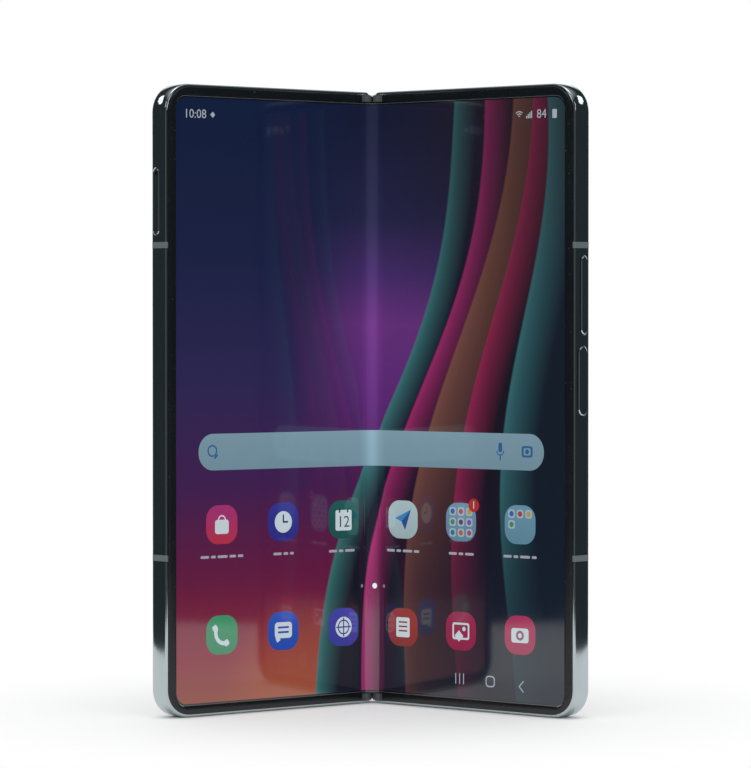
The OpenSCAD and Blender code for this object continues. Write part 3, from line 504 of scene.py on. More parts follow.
def finish(name, colour, roughness=0.4, metallic=0.0, mottle=0.1, grain=0.2, grain_scale=900.0, bump=0.05,
           coat=0.0, dust=0.0, specular=0.5, smudge=0.0, brush=0.0, crown=0.0):
    """A solid finish with its own mottling, grain and marks."""
    mat, n, shader = new_material(name)
    skin = put(n, SURFACE, Base=colour, Roughness=roughness, Mottle=mottle, Grain=grain, Grain_scale=grain_scale,
               Dust=dust)
    n.link(skin["Color"], shader.inputs["Base Color"])
    rough, height = skin["Roughness"], skin["Height"]
    if smudge:
        rough = put(n, SMUDGE, Roughness=rough, Amount=smudge)["Roughness"]
    if brush:
        lines = put(n, BRUSH, Roughness=rough, Amount=brush)
        rough, height = lines["Roughness"], n.plus(height, lines["Height"])
    n.link(rough, shader.inputs["Roughness"])
    shader.inputs["Metallic"].default_value = metallic
    shader.inputs["Specular IOR Level"].default_value = specular
    if coat:
        shader.inputs["Coat Weight"].default_value = coat
        shader.inputs["Coat Roughness"].default_value = 0.06
    relief = n.add("Bump")
    relief.inputs["Strength"].default_value = bump
    relief.inputs["Distance"].default_value = 0.05 * MM
    n.link(height, relief.inputs["Height"])
    normal = relief.outputs["Normal"]
    if crown:
        curve = n.add("Bump")
        curve.inputs["Distance"].default_value = 1.0
        n.link(put(n, CROWN, Radius=crown)["Height"], curve.inputs["Height"])
        n.link(normal, curve.inputs["Normal"])
        normal = curve.outputs["Normal"]
    n.link(normal, shader.inputs["Normal"])
    return mat


def glow_material(name):
    """Dark gloss that shines with the colour it is given, as a lit screen does."""
    mat, n, shader = new_material(name)
    shader.inputs["Base Color"].default_value = (0.004, 0.004, 0.005, 1)
    shader.inputs["IOR"].default_value = 1.75
    shader.inputs["Emission Strength"].default_value = 1.0
    n.link(put(n, SMUDGE, Roughness=0.05, Amount=0.05)["Roughness"], shader.inputs["Roughness"])
    return mat, n, shader


# The lit field of the picture, in decimetres sideways from the fold and up from the phone's foot
FIELD_HALF_WIDTH = 0.6175
FIELD_MIDDLE, FIELD_HALF_HEIGHT = 0.7745, 0.7415
FIELD_CORNER = 0.03


def wallpaper_material():
    """The lit screen: a dusk-coloured picture of flowing ribbons inside a black border."""
    mat, n, shader = glow_material("lit_screen")
    spread = n.add("VectorMath", operation="MULTIPLY_ADD")
    n.link(n.add("UVMap", uv_map="Screen").outputs["UV"], spread.inputs[0])
    spread.inputs[1].default_value = (PICTURE_WIDTH / DM, PICTURE_HEIGHT / DM, 0)
    spread.inputs[2].default_value = (-PICTURE_WIDTH / DM / 2, 0, 0)
    place = spread.outputs["Vector"]
    x, z, _ = n.split(place)
    height = n.math("DIVIDE", z, PICTURE_HEIGHT / DM)
    sky = n.ramp(height, [
        (0.02, rgb(132, 66, 50)), (0.09, rgb(126, 32, 52)), (0.22, rgb(92, 20, 58)), (0.36, rgb(60, 24, 74)),
        (0.52, rgb(40, 32, 76)), (0.72, rgb(20, 26, 62)), (0.95, rgb(6, 22, 54))])
    by_the_fold = n.ramp(height, [
        (0.02, rgb(96, 40, 50)), (0.20, rgb(92, 16, 54)), (0.36, rgb(62, 22, 68)), (0.50, rgb(82, 34, 104)),
        (0.62, rgb(92, 42, 112)), (0.70, rgb(60, 37, 92)), (0.79, rgb(30, 29, 62)), (0.95, rgb(15, 20, 44))])
    colour = n.mix(n.smooth(x, -0.28, 0.02), sky, by_the_fold)
    # A warm glow near the bottom
    across = n.math("POWER", n.plus(x, 0.22), 2.0)
    up = n.math("POWER", n.minus(z, 0.03), 2.0)
    warm = n.smooth(n.plus(across, up), 0.075, 0.0)
    colour = n.mix(n.times(warm, 0.5), colour, rgb(160, 84, 46))
    # Each ribbon: turn, edge, swing, pitch, phase, glow, bright and deep colour
    for turn, edge, swing, pitch, phase, glow, bright, deep in (
            (-1.28, 0.169, 0.060, 3.9, 0.4, 0.075, rgb(52, 112, 112), rgb(14, 16, 32)),
            (-1.33, 0.030, 0.068, 3.7, 0.1, 0.085, rgb(150, 38, 98), rgb(26, 12, 30)),
            (-1.38, -0.105, 0.070, 3.5, -0.2, 0.20, rgb(112, 70, 58), rgb(18, 12, 18)),
            (-1.44, -0.262, 0.062, 3.6, -0.5, 0.095, rgb(138, 32, 72), rgb(16, 10, 24)),
            (-1.51, -0.432, 0.050, 4.1, -1.0, 0.11, rgb(50, 102, 108), rgb(9, 20, 34))):
        colour = put(n, RIBBON, Below=colour, Place=place, Turn=turn, Edge=edge, Swing=swing, Pitch=pitch,
                     Phase=phase, Glow=glow, Bright=bright, Deep=deep)["Color"]
    # The ribbons sink into the dark towards the lower right, and dim towards the upper right
    sunk = n.times(n.smooth(z, 0.72, 0.12), n.smooth(x, -0.05, 0.2), 0.82)
    colour = n.mix(sunk, colour, rgb(10, 22, 38))
    dusk = n.times(n.smooth(z, 0.80, 1.45), n.smooth(x, 0.0, 0.3), 0.5)
    colour = n.mix(dusk, colour, rgb(26, 17, 22))
    # Rounded border of the lit field
    squares = []
    for value, middle, half in ((x, 0.0, FIELD_HALF_WIDTH), (z, FIELD_MIDDLE, FIELD_HALF_HEIGHT)):
        past = n.minus(n.math("ABSOLUTE", n.minus(value, middle)), half - FIELD_CORNER)
        past = n.math("MAXIMUM", past, 0.0)
        squares.append(n.times(past, past))
    lit = n.smooth(n.math("SQRT", n.plus(*squares)), 1.02 * FIELD_CORNER, 0.99 * FIELD_CORNER)
    # Painted sheen: the picture's glow is brightened along the crease
    bright = put(n, PAINTED_CREASE_SHEEN, Color=colour, Gain=PAINTED_SHEEN_GAIN)["Color"]
    n.link(n.mix(lit, (0, 0, 0, 1), bright), shader.inputs["Emission Color"])
    return mat


def picture_material():
    """Marks shown on the screen, in the colour painted on them."""
    mat, n, shader = glow_material("screen_marks")
    paint = n.add("VertexColor", layer_name="Tint").outputs["Color"]
    uneven = n.plus(0.97, n.times(n.noise(n.place(), 300.0), 0.06))
    # Painted sheen: the marks also glow brighter along the crease
    bright = put(n, PAINTED_CREASE_SHEEN, Color=n.scaled(paint, uneven), Gain=PAINTED_SHEEN_GAIN)["Color"]
    n.link(bright, shader.inputs["Emission Color"])
    return mat


# ---------------------------------------------------------------- finishes

METAL = finish("polished_frame", (0.49, 0.555, 0.575, 1), 0.07, 1.0, mottle=0.03, grain=0.05, grain_scale=2500,
               bump=0.01, smudge=0.012, crown=0.016)
BAND = finish("antenna_band", rgb(92, 106, 106), 0.42, mottle=0.08, grain=0.3, grain_scale=3000)
BEZEL = finish("soft_bezel", rgb(15, 20, 23), 0.24, mottle=0.15, grain=0.3, grain_scale=2500, bump=0.05, dust=0.06)
STEEL = finish("support_steel", (0.42, 0.43, 0.44, 1), 0.32, 1.0, grain=0.3, brush=0.2)
HINGE_METAL = finish("hinge_steel", (0.46, 0.46, 0.45, 1), 0.3, 1.0, mottle=0.12, grain=0.35, grain_scale=2000,
                     bump=0.08)
SPINE = finish("spine_metal", (0.32, 0.365, 0.375, 1), 0.16, 1.0, mottle=0.06, grain=0.15, bump=0.02, brush=0.12,
               smudge=0.05)
CAP = finish("end_cap_plastic", rgb(74, 79, 80), 0.35, mottle=0.1, grain=0.3, grain_scale=3000, bump=0.08)
BRONZE = finish("washer_bronze", (0.55, 0.36, 0.2, 1), 0.35, 1.0, grain=0.3)
SCREW = finish("screw_steel", (0.55, 0.56, 0.57, 1), 0.28, 1.0, grain=0.3, bump=0.06)
FOIL = finish("battery_foil", rgb(40, 42, 44), 0.4, mottle=0.12, grain=0.4, bump=0.1)
BACK = finish("satin_back_glass", rgb(38, 46, 46), 0.34, mottle=0.04, grain=0.5, grain_scale=6000, bump=0.05,
              coat=0.12, smudge=0.12)
COVER = finish("cover_glass", rgb(6, 7, 9), 0.05, mottle=0.2, grain=0.05, bump=0.0, smudge=0.05, specular=0.6)
DARK = finish("module_housing", rgb(44, 46, 50), 0.45, mottle=0.1, grain=0.4, bump=0.1)
ISLAND = finish("camera_island_metal", (0.24, 0.275, 0.27, 1), 0.22, 0.9, mottle=0.06, grain=0.25,
                grain_scale=4000, bump=0.02, smudge=0.06)
BOARD = finish("circuit_board", rgb(20, 62, 46), 0.45, mottle=0.4, grain=0.5, grain_scale=1500, bump=0.1)
SHIELD = finish("tin_shield", (0.5, 0.51, 0.52, 1), 0.38, 1.0, grain=0.3)
COPPER = finish("coil_copper", (0.62, 0.32, 0.17, 1), 0.35, 1.0, grain=0.3)
MAGNET = finish("plated_magnet", (0.5, 0.5, 0.5, 1), 0.25, 1.0, grain=0.2)
LED = finish("flash_diffuser", rgb(226, 216, 170), 0.25, mottle=0.1, grain=0.5, grain_scale=2500, bump=0.2, coat=0.5)
PORT = finish("port_sleeve", (0.45, 0.46, 0.47, 1), 0.25, 1.0, grain=0.2, bump=0.03)
LENS = finish("lens_glass", rgb(8, 10, 18), 0.04, mottle=0.2, grain=0.05, bump=0.0, specular=0.8)
COATED = finish("coated_lens", rgb(34, 36, 82), 0.04, 0.5, mottle=0.2, grain=0.05, bump=0.0, coat=1.0)
BARREL = finish("lens_barrel", rgb(16, 17, 19), 0.35, mottle=0.1, grain=0.4, grain_scale=4000, bump=0.08)
# The film rim's pale grey is partly its own tone and partly a painted highlight along its cut edge
EDGE = finish("film_edge", rgb(92, 98, 100), 0.2, mottle=0.1, grain=0.1, bump=0.0, specular=0.8)
LIT = wallpaper_material()
MARKS = picture_material()

FINISHES = {
    METAL: ["left_frame", "right_frame", "power_key", "volume_key", "sim_tray"],
    BAND: ["left_antenna_bands", "right_antenna_bands"],
    BEZEL: ["left_bezel", "right_bezel"],
    STEEL: ["left_support_plate", "right_support_plate"],
    HINGE_METAL: ["hinge_base_top", "hinge_base_bottom", "hinge_shafts", "hinge_springs", "left_arms", "right_arms",
                  "left_idlers", "right_idlers", "left_bracket_top", "left_bracket_bottom", "right_bracket_top",
                  "right_bracket_bottom"],
    SPINE: ["hinge_cover"],
    CAP: ["spine_caps", "left_end_caps", "right_end_caps"],
    BRONZE: ["friction_washers"],
    SCREW: ["hinge_screws", "left_bracket_screws", "right_bracket_screws"],
    FOIL: ["left_battery", "right_battery"],
    BACK: ["rear_glass"],
    COVER: ["cover_glass", "cover_display_panel"],
    DARK: ["top_speaker", "bottom_speaker", "camera_modules", "key_switches", "sim_reader", "vibration_motor",
           "cover_camera", "under_display_camera"],
    ISLAND: ["camera_island"],
    BOARD: ["left_circuit_board", "main_board", "usb_board"],
    SHIELD: ["board_shields"],
    COPPER: ["charging_coil"],
    MAGNET: ["left_magnets", "right_magnets"],
    LED: ["flash_led"],
    PORT: ["usb_port"],
    LENS: ["camera_lenses"],
}
for material, names in FINISHES.items():
    for name in names:
        materials = frame["nodes"][name].data.materials
        materials.clear()
        materials.append(material)


# ---------------------------------------------------------------- folding screen

def screen_half(side):
    """One half of the folding screen, made flat, cut into strips where it bends, then folded."""
    middle = (SIDES[side] * SCREEN_REACH / 2, SCREEN_Y + SCREEN_DEPTH / 2, (SCREEN_FOOT + SCREEN_TOP) / 2)
    bpy.ops.mesh.primitive_cube_add(size=1, location=middle,
                                    scale=(SCREEN_REACH, SCREEN_DEPTH, SCREEN_TOP - SCREEN_FOOT))
    obj = settle(bpy.context.active_object, side + "_screen")
    strips(obj, side)
    layers = obj.data.uv_layers
    while layers:
        layers.remove(layers[0])
    layer = layers.new(name="Screen")
    for loop in obj.data.loops:
        co = obj.data.vertices[loop.vertex_index].co
        layer.data[loop.index].uv = (co.x / PICTURE_WIDTH + 0.5, co.z / PICTURE_HEIGHT)
    obj.data.materials.append(LIT)
    fold(obj, side)
    only(obj)
    bpy.ops.object.shade_smooth_by_angle(angle=math.radians(30))
    return obj


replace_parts(screen_half("left"), "left_display", "fold_display")
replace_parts(screen_half("right"), "right_display")


# ---------------------------------------------------------------- marks on the screen

# Where the marks stand, in millimetres, and how far each layer of them lies before the screen
COLUMNS = (-47.9, -28.8, -9.6, 10.5, 29.3, 48.0)
UPPER_ROW, NAME_LINE, LOWER_ROW = 46.9, 39.0, 19.7
DOT_LINE, STATE_LINE = 29.8, 147.6
ON_SCREEN, ON_TILE, ON_GLYPH, ON_TOP = 0.02, 0.04, 0.05, 0.06

# Tones of the marks, as display values
WHITE = (186, 198, 204)
INK = (40, 88, 132)
NAME_TONE = (150, 150, 162)
KEY_TONE = (152, 160, 172)
STATE_TONE = (156, 164, 174)
DOT_TONE = (120, 116, 130)
CLOCK_HANDS = (34, 32, 84)
CALENDAR_INK = (24, 62, 64)
GLOBE_INK = (50, 52, 142)
PICTURE_INK = (134, 22, 66)

marks = {"left": [], "right": []}


def show(obj, low, high=None):
    """Adds a tinted mark to the half it lies on."""
    middle = sum(v.co.x for v in obj.data.vertices) / len(obj.data.vertices)
    marks["left" if middle < 0 else "right"].append(tint(obj, low, high))


def tile(x, z, low, high):
    show(pane(x - 4.8, z - 4.8, x + 4.8, z + 4.8, 3.5, 8, lift=ON_SCREEN), low, high)


def label(x0, x1):
    """Plain dashes where an app's name would stand."""
    at = x0
    for step in (2.6, 1.5, 3.1, 2.0, 2.8, 1.6):
        end = min(at + step, x1)
        if end - at > 0.6:
            show(pane(at, NAME_LINE - 0.33, end, NAME_LINE + 0.33, 0.3, 3, lift=ON_SCREEN), NAME_TONE)
        at += step + 0.55


def bag(x, z):
    show(pane(x - 2.1, z - 2.3, x + 2.1, z + 1.2, 0.7, 4, lift=ON_TILE), WHITE)
    show(ring(x, z + 1.1, 1.25, 0.35, lift=ON_TILE, start=0, end=180), WHITE)


def clock(x, z):
    show(disc(x, z, 2.7, 32, lift=ON_TILE), WHITE)
    show(pane(x - 0.22, z - 0.1, x + 0.22, z + 1.9, 0.2, 3, lift=ON_GLYPH), CLOCK_HANDS)
    show(pane(x - 0.2, z - 0.22, x + 1.5, z + 0.22, 0.2, 3, lift=ON_GLYPH), CLOCK_HANDS)


def calendar(x, z):
    show(pane(x - 2.6, z - 2.8, x + 2.6, z + 2.4, 0.5, 4, lift=ON_TILE), WHITE)
    for dx in (-1.3, 1.3):
        show(pane(x + dx - 0.25, z + 1.7, x + dx + 0.25, z + 3.0, 0.2, 3, lift=ON_GLYPH), CALENDAR_INK)
    show(figures("12", x, z - 0.7, 2.9, lift=ON_GLYPH), CALENDAR_INK)


def plane(x, z):
    """A paper plane in two tones."""
    show(outline([(x - 2.6, z + 0.3), (x - 0.5, z - 0.5), (x + 2.6, z + 2.6)], ON_TILE), (52, 122, 176))
    show(outline([(x - 0.5, z - 0.5), (x + 0.7, z - 2.6), (x + 2.6, z + 2.6)], ON_TILE), (30, 74, 132))


def handset(x, z):
    show(ring(x + 0.7, z + 0.5, 3.1, 1.0, lift=ON_TILE, start=150, end=290), WHITE)
    for dx, dz in ((-2.1, 1.7), (1.4, -2.0)):
        show(pane(x + dx - 0.75, z + dz - 0.75, x + dx + 0.75, z + dz + 0.75, 0.4, 4, lift=ON_GLYPH, turn=0.6), WHITE)


def chat(x, z):
    show(pane(x - 2.7, z - 1.8, x + 2.7, z + 2.2, 0.9, 4, lift=ON_TILE), WHITE)
    show(pane(x - 2.3, z - 2.6, x - 1.1, z - 1.4, lift=ON_TILE, turn=0.5), WHITE)
    for dz in (0.9, -0.3):
        show(pane(x - 1.7, z + dz - 0.25, x + 1.7, z + dz + 0.25, lift=ON_GLYPH), (26, 68, 162))


def globe(x, z):
    show(disc(x, z, 2.6, 32, lift=ON_TILE), WHITE)
    show(ring(x, z, 1.9, 0.35, lift=ON_GLYPH), GLOBE_INK)
    show(pane(x - 0.17, z - 2.4, x + 0.17, z + 2.4, lift=ON_GLYPH), GLOBE_INK)
    show(pane(x - 2.4, z - 0.17, x + 2.4, z + 0.17, lift=ON_GLYPH), GLOBE_INK)


def note(x, z):
    show(pane(x - 2.2, z - 2.5, x + 2.2, z + 2.5, 0.5, 4, lift=ON_TILE), WHITE)
    for dz in (1.3, 0.2, -0.9):
        show(pane(x - 1.4, z + dz - 0.2, x + 1.4, z + dz + 0.2, lift=ON_GLYPH), (130, 44, 42))


def picture(x, z):
    show(pane(x - 2.7, z - 2.1, x + 2.7, z + 2.1, 0.6, 4, lift=ON_TILE), WHITE)
    show(pane(x - 2.2, z - 1.6, x + 2.2, z + 1.6, 0.3, 3, lift=ON_GLYPH), PICTURE_INK)
    show(disc(x + 1.0, z + 0.6, 0.55, 16, lift=ON_TOP), WHITE)
    show(pane(x - 1.6, z - 2.2, x + 0.4, z - 0.2, lift=ON_TOP, turn=0.785), WHITE)


def camera_mark(x, z):
    show(pane(x - 2.7, z - 1.9, x + 2.7, z + 1.7, 0.7, 4, lift=ON_TILE), WHITE)
    show(disc(x, z - 0.1, 1.25, 24, lift=ON_GLYPH), (130, 84, 104))
    show(disc(x, z - 0.1, 0.6, 20, lift=ON_TOP), WHITE)


def folder(x, z, tones):
    """Small pale tiles in rows of three, each with a coloured dot."""
    for i, tone in enumerate(tones):
        a = x + (i % 3 - 1) * 2.65
        c = z - (i // 3 - 1) * 2.65
        show(pane(a - 1.05, c - 1.05, a + 1.05, c + 1.05, 0.6, 4, lift=ON_TILE), (146, 166, 178))
        show(disc(a, c, 0.68, 16, lift=ON_GLYPH), tone)


UPPER_APPS = [
    # tile colours low and high, glyph, its name's dashes
    ((166, 42, 66), (150, 44, 108), bag, (-54.4, -41.3)),
    ((40, 38, 122), (48, 46, 136), clock, (-31.9, -25.5)),
    ((16, 74, 72), (20, 84, 82), calendar, (-14.3, -5.0)),
    ((142, 164, 168), (158, 180, 184), plane, (5.2, 15.8)),
    ((84, 122, 144), (98, 136, 156), None, (25.4, 33.4)),
    ((86, 124, 144), (98, 136, 156), None, (42.8, 53.2)),
]
LOWER_APPS = [
    ((40, 122, 84), (52, 136, 96), handset),
    ((22, 62, 156), (30, 76, 172), chat),
    ((46, 48, 138), (56, 58, 152), globe),
    ((122, 40, 38), (136, 48, 44), note),
    ((128, 20, 62), (140, 26, 72), picture),
    ((146, 34, 72), (156, 42, 84), camera_mark),
]
for x, (low, high, glyph, name_bar) in zip(COLUMNS, UPPER_APPS):
    tile(x, UPPER_ROW, low, high)
    if glyph:
        glyph(x, UPPER_ROW)
    label(*name_bar)
for x, (low, high, glyph) in zip(COLUMNS, LOWER_APPS):
    tile(x, LOWER_ROW, low, high)
    glyph(x, LOWER_ROW)

APP_DOTS = [(46, 92, 150), (150, 60, 62), (168, 138, 62), (60, 124, 84), (60, 70, 92), (104, 78, 146),
            (40, 104, 136), (160, 92, 52), (160, 64, 100)]
folder(COLUMNS[4], UPPER_ROW, APP_DOTS)
folder(COLUMNS[5], UPPER_ROW, APP_DOTS[:4])
show(disc(33.4, 51.2, 1.7, 24, lift=ON_TOP), (158, 42, 42))
show(figures("1", 33.4, 51.2, 1.9, lift=0.08), WHITE)

# Search field, cut where it crosses the fold, with a magnifier, a microphone and a lens
for half in halve(pane(-55, 60.3, 55.4, 69.3, 4.4, 10, lift=ON_SCREEN)).values():
    show(half, (106, 134, 148), (114, 142, 156))
show(ring(-50.8, 65.1, 1.5, 0.4, lift=ON_TILE), INK)
show(pane(-49.9, 63.0, -49.4, 64.4, 0.2, 3, lift=ON_TILE, turn=-0.75), INK)
show(pane(41.2, 64.6, 42.4, 67.0, 0.55, 5, lift=ON_TILE), INK)
show(ring(41.8, 65.0, 1.25, 0.3, lift=ON_GLYPH, start=180, end=360), INK)
show(pane(41.6, 62.6, 42.0, 63.9, lift=ON_TILE), INK)
show(pane(48.5, 63.5, 51.9, 66.3, 0.6, 4, lift=ON_TILE), INK)
show(pane(49.1, 64.0, 51.3, 65.8, 0.4, 4, lift=ON_GLYPH), (110, 138, 152))
show(disc(50.2, 64.9, 0.6, 18, lift=ON_TOP), INK)

# Page dots
show(disc(-3.4, DOT_LINE, 0.45, 16, lift=ON_SCREEN), DOT_TONE)
show(disc(0.75, DOT_LINE, 0.7, 20, lift=ON_SCREEN), WHITE)
show(disc(4.1, DOT_LINE, 0.45, 16, lift=ON_SCREEN), DOT_TONE)

# Keys at the foot of the screen: three bars, a rounded square and an angle
for x in (27.5, 28.75, 30.0):
    show(pane(x, 6.5, x + 0.28, 9.2, 0.12, 3, lift=ON_SCREEN), KEY_TONE)
show(pane(37.2, 6.3, 40.1, 9.1, 0.9, 5, lift=ON_SCREEN), KEY_TONE)
show(pane(37.5, 6.6, 39.8, 8.8, 0.7, 5, lift=0.03), (22, 28, 46))
for turn, rise in ((0.8, 0.0), (-0.8, -1.3)):
    show(pane(47.4, 7.54 + rise, 49.4, 7.81 + rise, lift=ON_SCREEN, turn=turn), KEY_TONE)

# State line: the time and a mark, then waves, bars, the charge and a cell
show(figures("10:08", -55.9, STATE_LINE, 2.2, lift=ON_SCREEN), STATE_TONE)
show(disc(-50.6, STATE_LINE, 0.75, 4, lift=ON_SCREEN), STATE_TONE)
for k in range(3):
    show(ring(47.65, 147.0, 0.45 + 0.55 * k, 0.25, 24, lift=ON_SCREEN, start=50, end=130), STATE_TONE)
for k in range(4):
    show(pane(49.8 + 0.5 * k, 146.7, 50.15 + 0.5 * k, 147.3 + 0.4 * k, lift=ON_SCREEN), STATE_TONE)
show(figures("84", 54.6, STATE_LINE, 2.2, lift=ON_SCREEN), STATE_TONE)
show(pane(57.9, 146.5, 59.3, 148.7, 0.25, 3, lift=ON_SCREEN), STATE_TONE)

for side, parts in marks.items():
    obj = join(side + "_screen_marks", parts)
    obj.data.materials.clear()
    obj.data.materials.append(MARKS)
    fold(obj, side)


# ---------------------------------------------------------------- edges round the screen

# The thin rim of the film over the screen, its pale grey partly the film's own tone and partly a painted highlight
# along the cut edge
film = pane(-61.95, 2.85, 61.95, 152.05, corner=2.85, steps=8)
edit(film)
bpy.ops.mesh.inset(thickness=0.14 * MM)
bpy.ops.mesh.delete(type="FACE")
bpy.ops.mesh.select_all(action="SELECT")
bpy.ops.mesh.extrude_region_move(TRANSFORM_OT_translate={"value": (0, -0.05 * MM, 0)})
done()
for side, half in halve(film, fill=True).items():
    half.name = half.data.name = side + "_film_edge"
    half.data.materials.append(EDGE)
    fold(half, side)


def soft_bezel(side):
    """The soft frame round one half of the screen, with its sharp front edges rounded over."""
    obj = twin(frame["nodes"][side + "_bezel"])
    obj.name = obj.data.name = side + "_soft_bezel"
    edit(obj)
    bpy.ops.mesh.remove_doubles(threshold=0.02 * MM)
    bpy.ops.mesh.dissolve_limited(angle_limit=math.radians(0.5))
    done()
    front = Vector((-SIDES[side] * math.sin(FOLD_ANGLE), -math.cos(FOLD_ANGLE), 0))
    mesh = obj.data
    leans = {}
    for face in mesh.polygons:
        for key in face.edge_keys:
            leans.setdefault(key, []).append(face.normal.dot(front))
    edit(obj, "DESELECT")
    bpy.ops.mesh.select_mode(type="EDGE")
    done()
    # An edge is rounded where a front face meets a side face
    for edge in mesh.edges:
        lean = leans.get(edge.key, [])
        edge.select = len(lean) == 2 and max(lean) > 0.99 and abs(min(lean)) < 0.1
    edit(obj, None)
    bpy.ops.mesh.bevel(offset=0.17 * MM, segments=3, clamp_overlap=True)
    bpy.ops.mesh.select_mode(type="FACE")
    done()
    bpy.ops.object.shade_smooth_by_angle(angle=math.radians(40))
    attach(obj, side + "_half")
    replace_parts(obj, side + "_bezel")


for side in SIDES:
    soft_bezel(side)


# ---------------------------------------------------------------- windows of the cameras and the flash

def stepped(name, place, radius, steps, finishes, sides=48):
    """Round window made flat, stepped in and out by pairs of inset and rise, in millimetres.

    Its place is measured from the fold axis when the phone lies flat. Each finish covers the faces beyond its radius.
    """
    x, y, z = place
    bpy.ops.mesh.primitive_circle_add(vertices=sides, radius=radius * MM, fill_type="NGON",
                                      location=(x * MM, AXIS_Y + y * MM, z * MM), rotation=(-math.pi / 2, 0, 0))
    obj = settle(bpy.context.active_object, name)
    edit(obj)
    for inset, rise in steps:
        if inset:
            bpy.ops.mesh.inset(thickness=inset * MM)
            bpy.ops.transform.translate(value=(0, rise * MM, 0))
        else:
            bpy.ops.mesh.extrude_region_move(TRANSFORM_OT_translate={"value": (0, rise * MM, 0)})
    done()
    for material, _ in finishes:
        obj.data.materials.append(material)
    for face in obj.data.polygons:
        far = math.hypot(face.center.x / MM - x, face.center.z / MM - z)
        face.material_index = next(i for i, (_, beyond) in enumerate(finishes) if far >= beyond)
    only(obj)
    bpy.ops.object.shade_smooth_by_angle(angle=math.radians(25))
    return obj


# A glossy black ring, the stepped barrel under it and a domed lens at its bottom
LENS_STEPS = [(0, 0.33), (0.05, 0.05), (1.15, 0), (0.04, -0.16), (0.35, 0), (0.04, -0.12), (0.75, -0.05),
              (0.06, -0.55), (0.22, 0), (0.04, 0.12), (0.35, 0.14), (0.4, 0.1), (0.4, 0.06), (0.3, 0.02)]
LENS_HEIGHTS = (103.4, 120.9, 138.4)
lenses = join("camera_lens_stacks", [
    stepped("lens_stack", (53.5, 5.92, z), 4.95, LENS_STEPS, [(LENS, 3.7), (BARREL, 1.85), (COATED, 0)])
    for z in LENS_HEIGHTS])
# A clear cover over ringed steps that spread the light
FLASH_STEPS = [(0, 1.76), (0.16, 0), (0.04, -0.1)] + [(0.22, 0.09), (0.03, -0.06)] * 4 + [(0.2, 0.05)]
flash = stepped("flash_diffuser", (42.65, 3.2, 138.4), 1.58, FLASH_STEPS, [(PORT, 1.42), (LED, 0)])
# A small domed window in a dark ring, just proud of the cover glass
COVER_CAMERA_STEPS = [(0, 0.03), (0.05, 0.015), (0.75, 0), (0.05, -0.01), (0.3, 0.02), (0.35, 0.01)]
cover_camera = stepped("cover_camera_window", (-34.475, 4.99, 145.9), 1.9, COVER_CAMERA_STEPS,
                       [(BARREL, 1.08), (COATED, 0)])
for obj, side, slot in ((lenses, "right", "lens_glass"), (flash, "right", "led"),
                        (cover_camera, "left", "lens_glass")):
    turn_out(obj, side)
    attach(obj, side + "_half")
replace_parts(lenses, "camera_lenses")
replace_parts(flash, "flash_led")


# ---------------------------------------------------------------- room, light and camera

def reflected(n):
    """What is known of a ray of light, and 1 where it comes from a reflection or through glass."""
    rays = n.add("LightPath").outputs
    return rays, n.math("MAXIMUM", rays["Is Glossy Ray"], rays["Is Transmission Ray"])


def lay_floor():
    """Plain pale floor, which keeps the phone's shadow and shades off to white further out."""
    bpy.ops.mesh.primitive_plane_add(size=1, location=(0, 0.3, 0))
    floor = bpy.context.active_object
    floor.scale = (0.47, 1.2, 1)
    settle(floor, "floor")
    mat, n, shader = new_material("pale_floor")
    shader.inputs["Base Color"].default_value = (0.88, 0.89, 0.89, 1)
    shader.inputs["Roughness"].default_value = 0.55
    shader.inputs["Specular IOR Level"].default_value = 0.3
    x, y, _ = n.split(n.place())
    away = n.math("SQRT", n.plus(n.math("POWER", x, 2.0), n.math("POWER", y, 2.0)))
    pale = n.plus(n.times(n.smooth(away, 0.03, 0.13), 0.55), 0.45)
    rays, mirror = reflected(n)
    shown = n.math("MAXIMUM", n.times(rays["Is Camera Ray"], pale), n.times(mirror, 0.45))
    # Close to what stands on it, the floor keeps its own shade
    close = n.add("AmbientOcclusion", samples=8)
    close.inputs["Distance"].default_value = 0.006
    white = n.add("Emission")
    white.inputs["Color"].default_value = (1, 1, 1, 1)
    blend = n.add("MixShader")
    n.link(n.times(shown, n.smooth(close.outputs["AO"], 0.45, 0.95)), blend.inputs["Fac"])
    n.link(shader.outputs["BSDF"], blend.inputs[1])
    n.link(white.outputs["Emission"], blend.inputs[2])
    n.link(blend.outputs["Shader"], mat.node_tree.nodes["Material Output"].inputs["Surface"])
    floor.data.materials.append(mat)


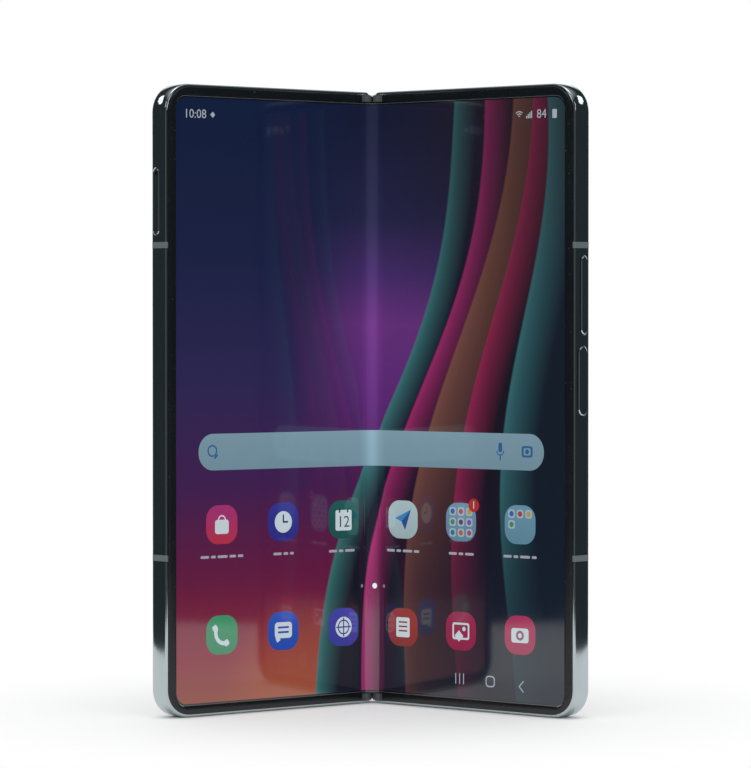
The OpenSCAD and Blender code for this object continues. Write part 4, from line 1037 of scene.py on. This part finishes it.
def set_world():
    """White to the eye and as soft light; what is polished shows a dark room with a pale ceiling and back wall."""
    world = bpy.data.worlds.new("studio")
    bpy.context.scene.world = world
    world.use_nodes = True
    n = Nodes(world.node_tree)
    around = n.add("TexCoord").outputs["Generated"]
    _, y, z = n.split(around)
    front = n.smooth(n.times(y, -1.0), 0.80, 1.05)
    grey = n.mix(front, (0.026, 0.034, 0.037, 1), (0.13, 0.13, 0.14, 1))
    room = n.mix(n.smooth(z, 0.6, 0.8), grey, (0.5, 0.51, 0.53, 1))
    wall = n.times(n.smooth(y, 0.72, 0.9), n.smooth(z, 0.5, 0.3))
    seen = n.mix(wall, room, (1, 1, 1, 1))
    # Two strip lights above and behind, each of three round spots, draw the streaks on the upper corners
    for sign in SIDES.values():
        for aim_x, aim_y, aim_z in ((0.85, 0.30, 0.43), (0.78, 0.39, 0.49), (0.70, 0.46, 0.545)):
            toward = n.add("VectorMath", operation="DOT_PRODUCT")
            n.link(around, toward.inputs[0])
            toward.inputs[1].default_value = (sign * aim_x, aim_y, aim_z)
            spot = n.smooth(toward.outputs["Value"], 0.9945, 0.997)
            seen = n.mix(spot, seen, (2.5, 2.6, 2.7, 1))
    rays, mirror = reflected(n)
    light = n.mix(mirror, (0.93, 0.935, 0.94, 1), seen)
    colour = n.mix(rays["Is Camera Ray"], light, (1, 1, 1, 1))
    n.link(colour, world.node_tree.nodes["Background"].inputs["Color"])


def softbox(name, place, aim, size, power):
    data = bpy.data.lights.new(name, "AREA")
    data.shape = "RECTANGLE"
    data.size, data.size_y = size
    data.energy = power
    lamp = bpy.data.objects.new(name, data)
    bpy.context.collection.objects.link(lamp)
    lamp.location = place
    direction = Vector(aim) - Vector(place)
    lamp.rotation_euler = direction.to_track_quat("-Z", "Y").to_euler()


lay_floor()
set_world()
softbox("overhead", (0, -0.25, 0.95), (0, 0, 0.05), (0.5, 0.3), 1.2)
softbox("left_key", (-0.8, -0.9, 0.7), (0, 0, 0.08), (0.4, 0.4), 0.8)
softbox("right_fill", (0.8, -0.9, 0.6), (0, 0, 0.08), (0.4, 0.4), 0.6)

camera = bpy.data.objects.new("camera", bpy.data.cameras.new("camera"))
bpy.context.collection.objects.link(camera)
camera.location = (0.01139, -0.9493, 0.09819)
camera.rotation_euler = (math.pi / 2 - 0.01778, 0, 0.0109)
camera.data.lens = 178.7
camera.data.sensor_width = 36
bpy.context.scene.camera = camera
bpy.context.scene.view_settings.view_transform = "Standard"
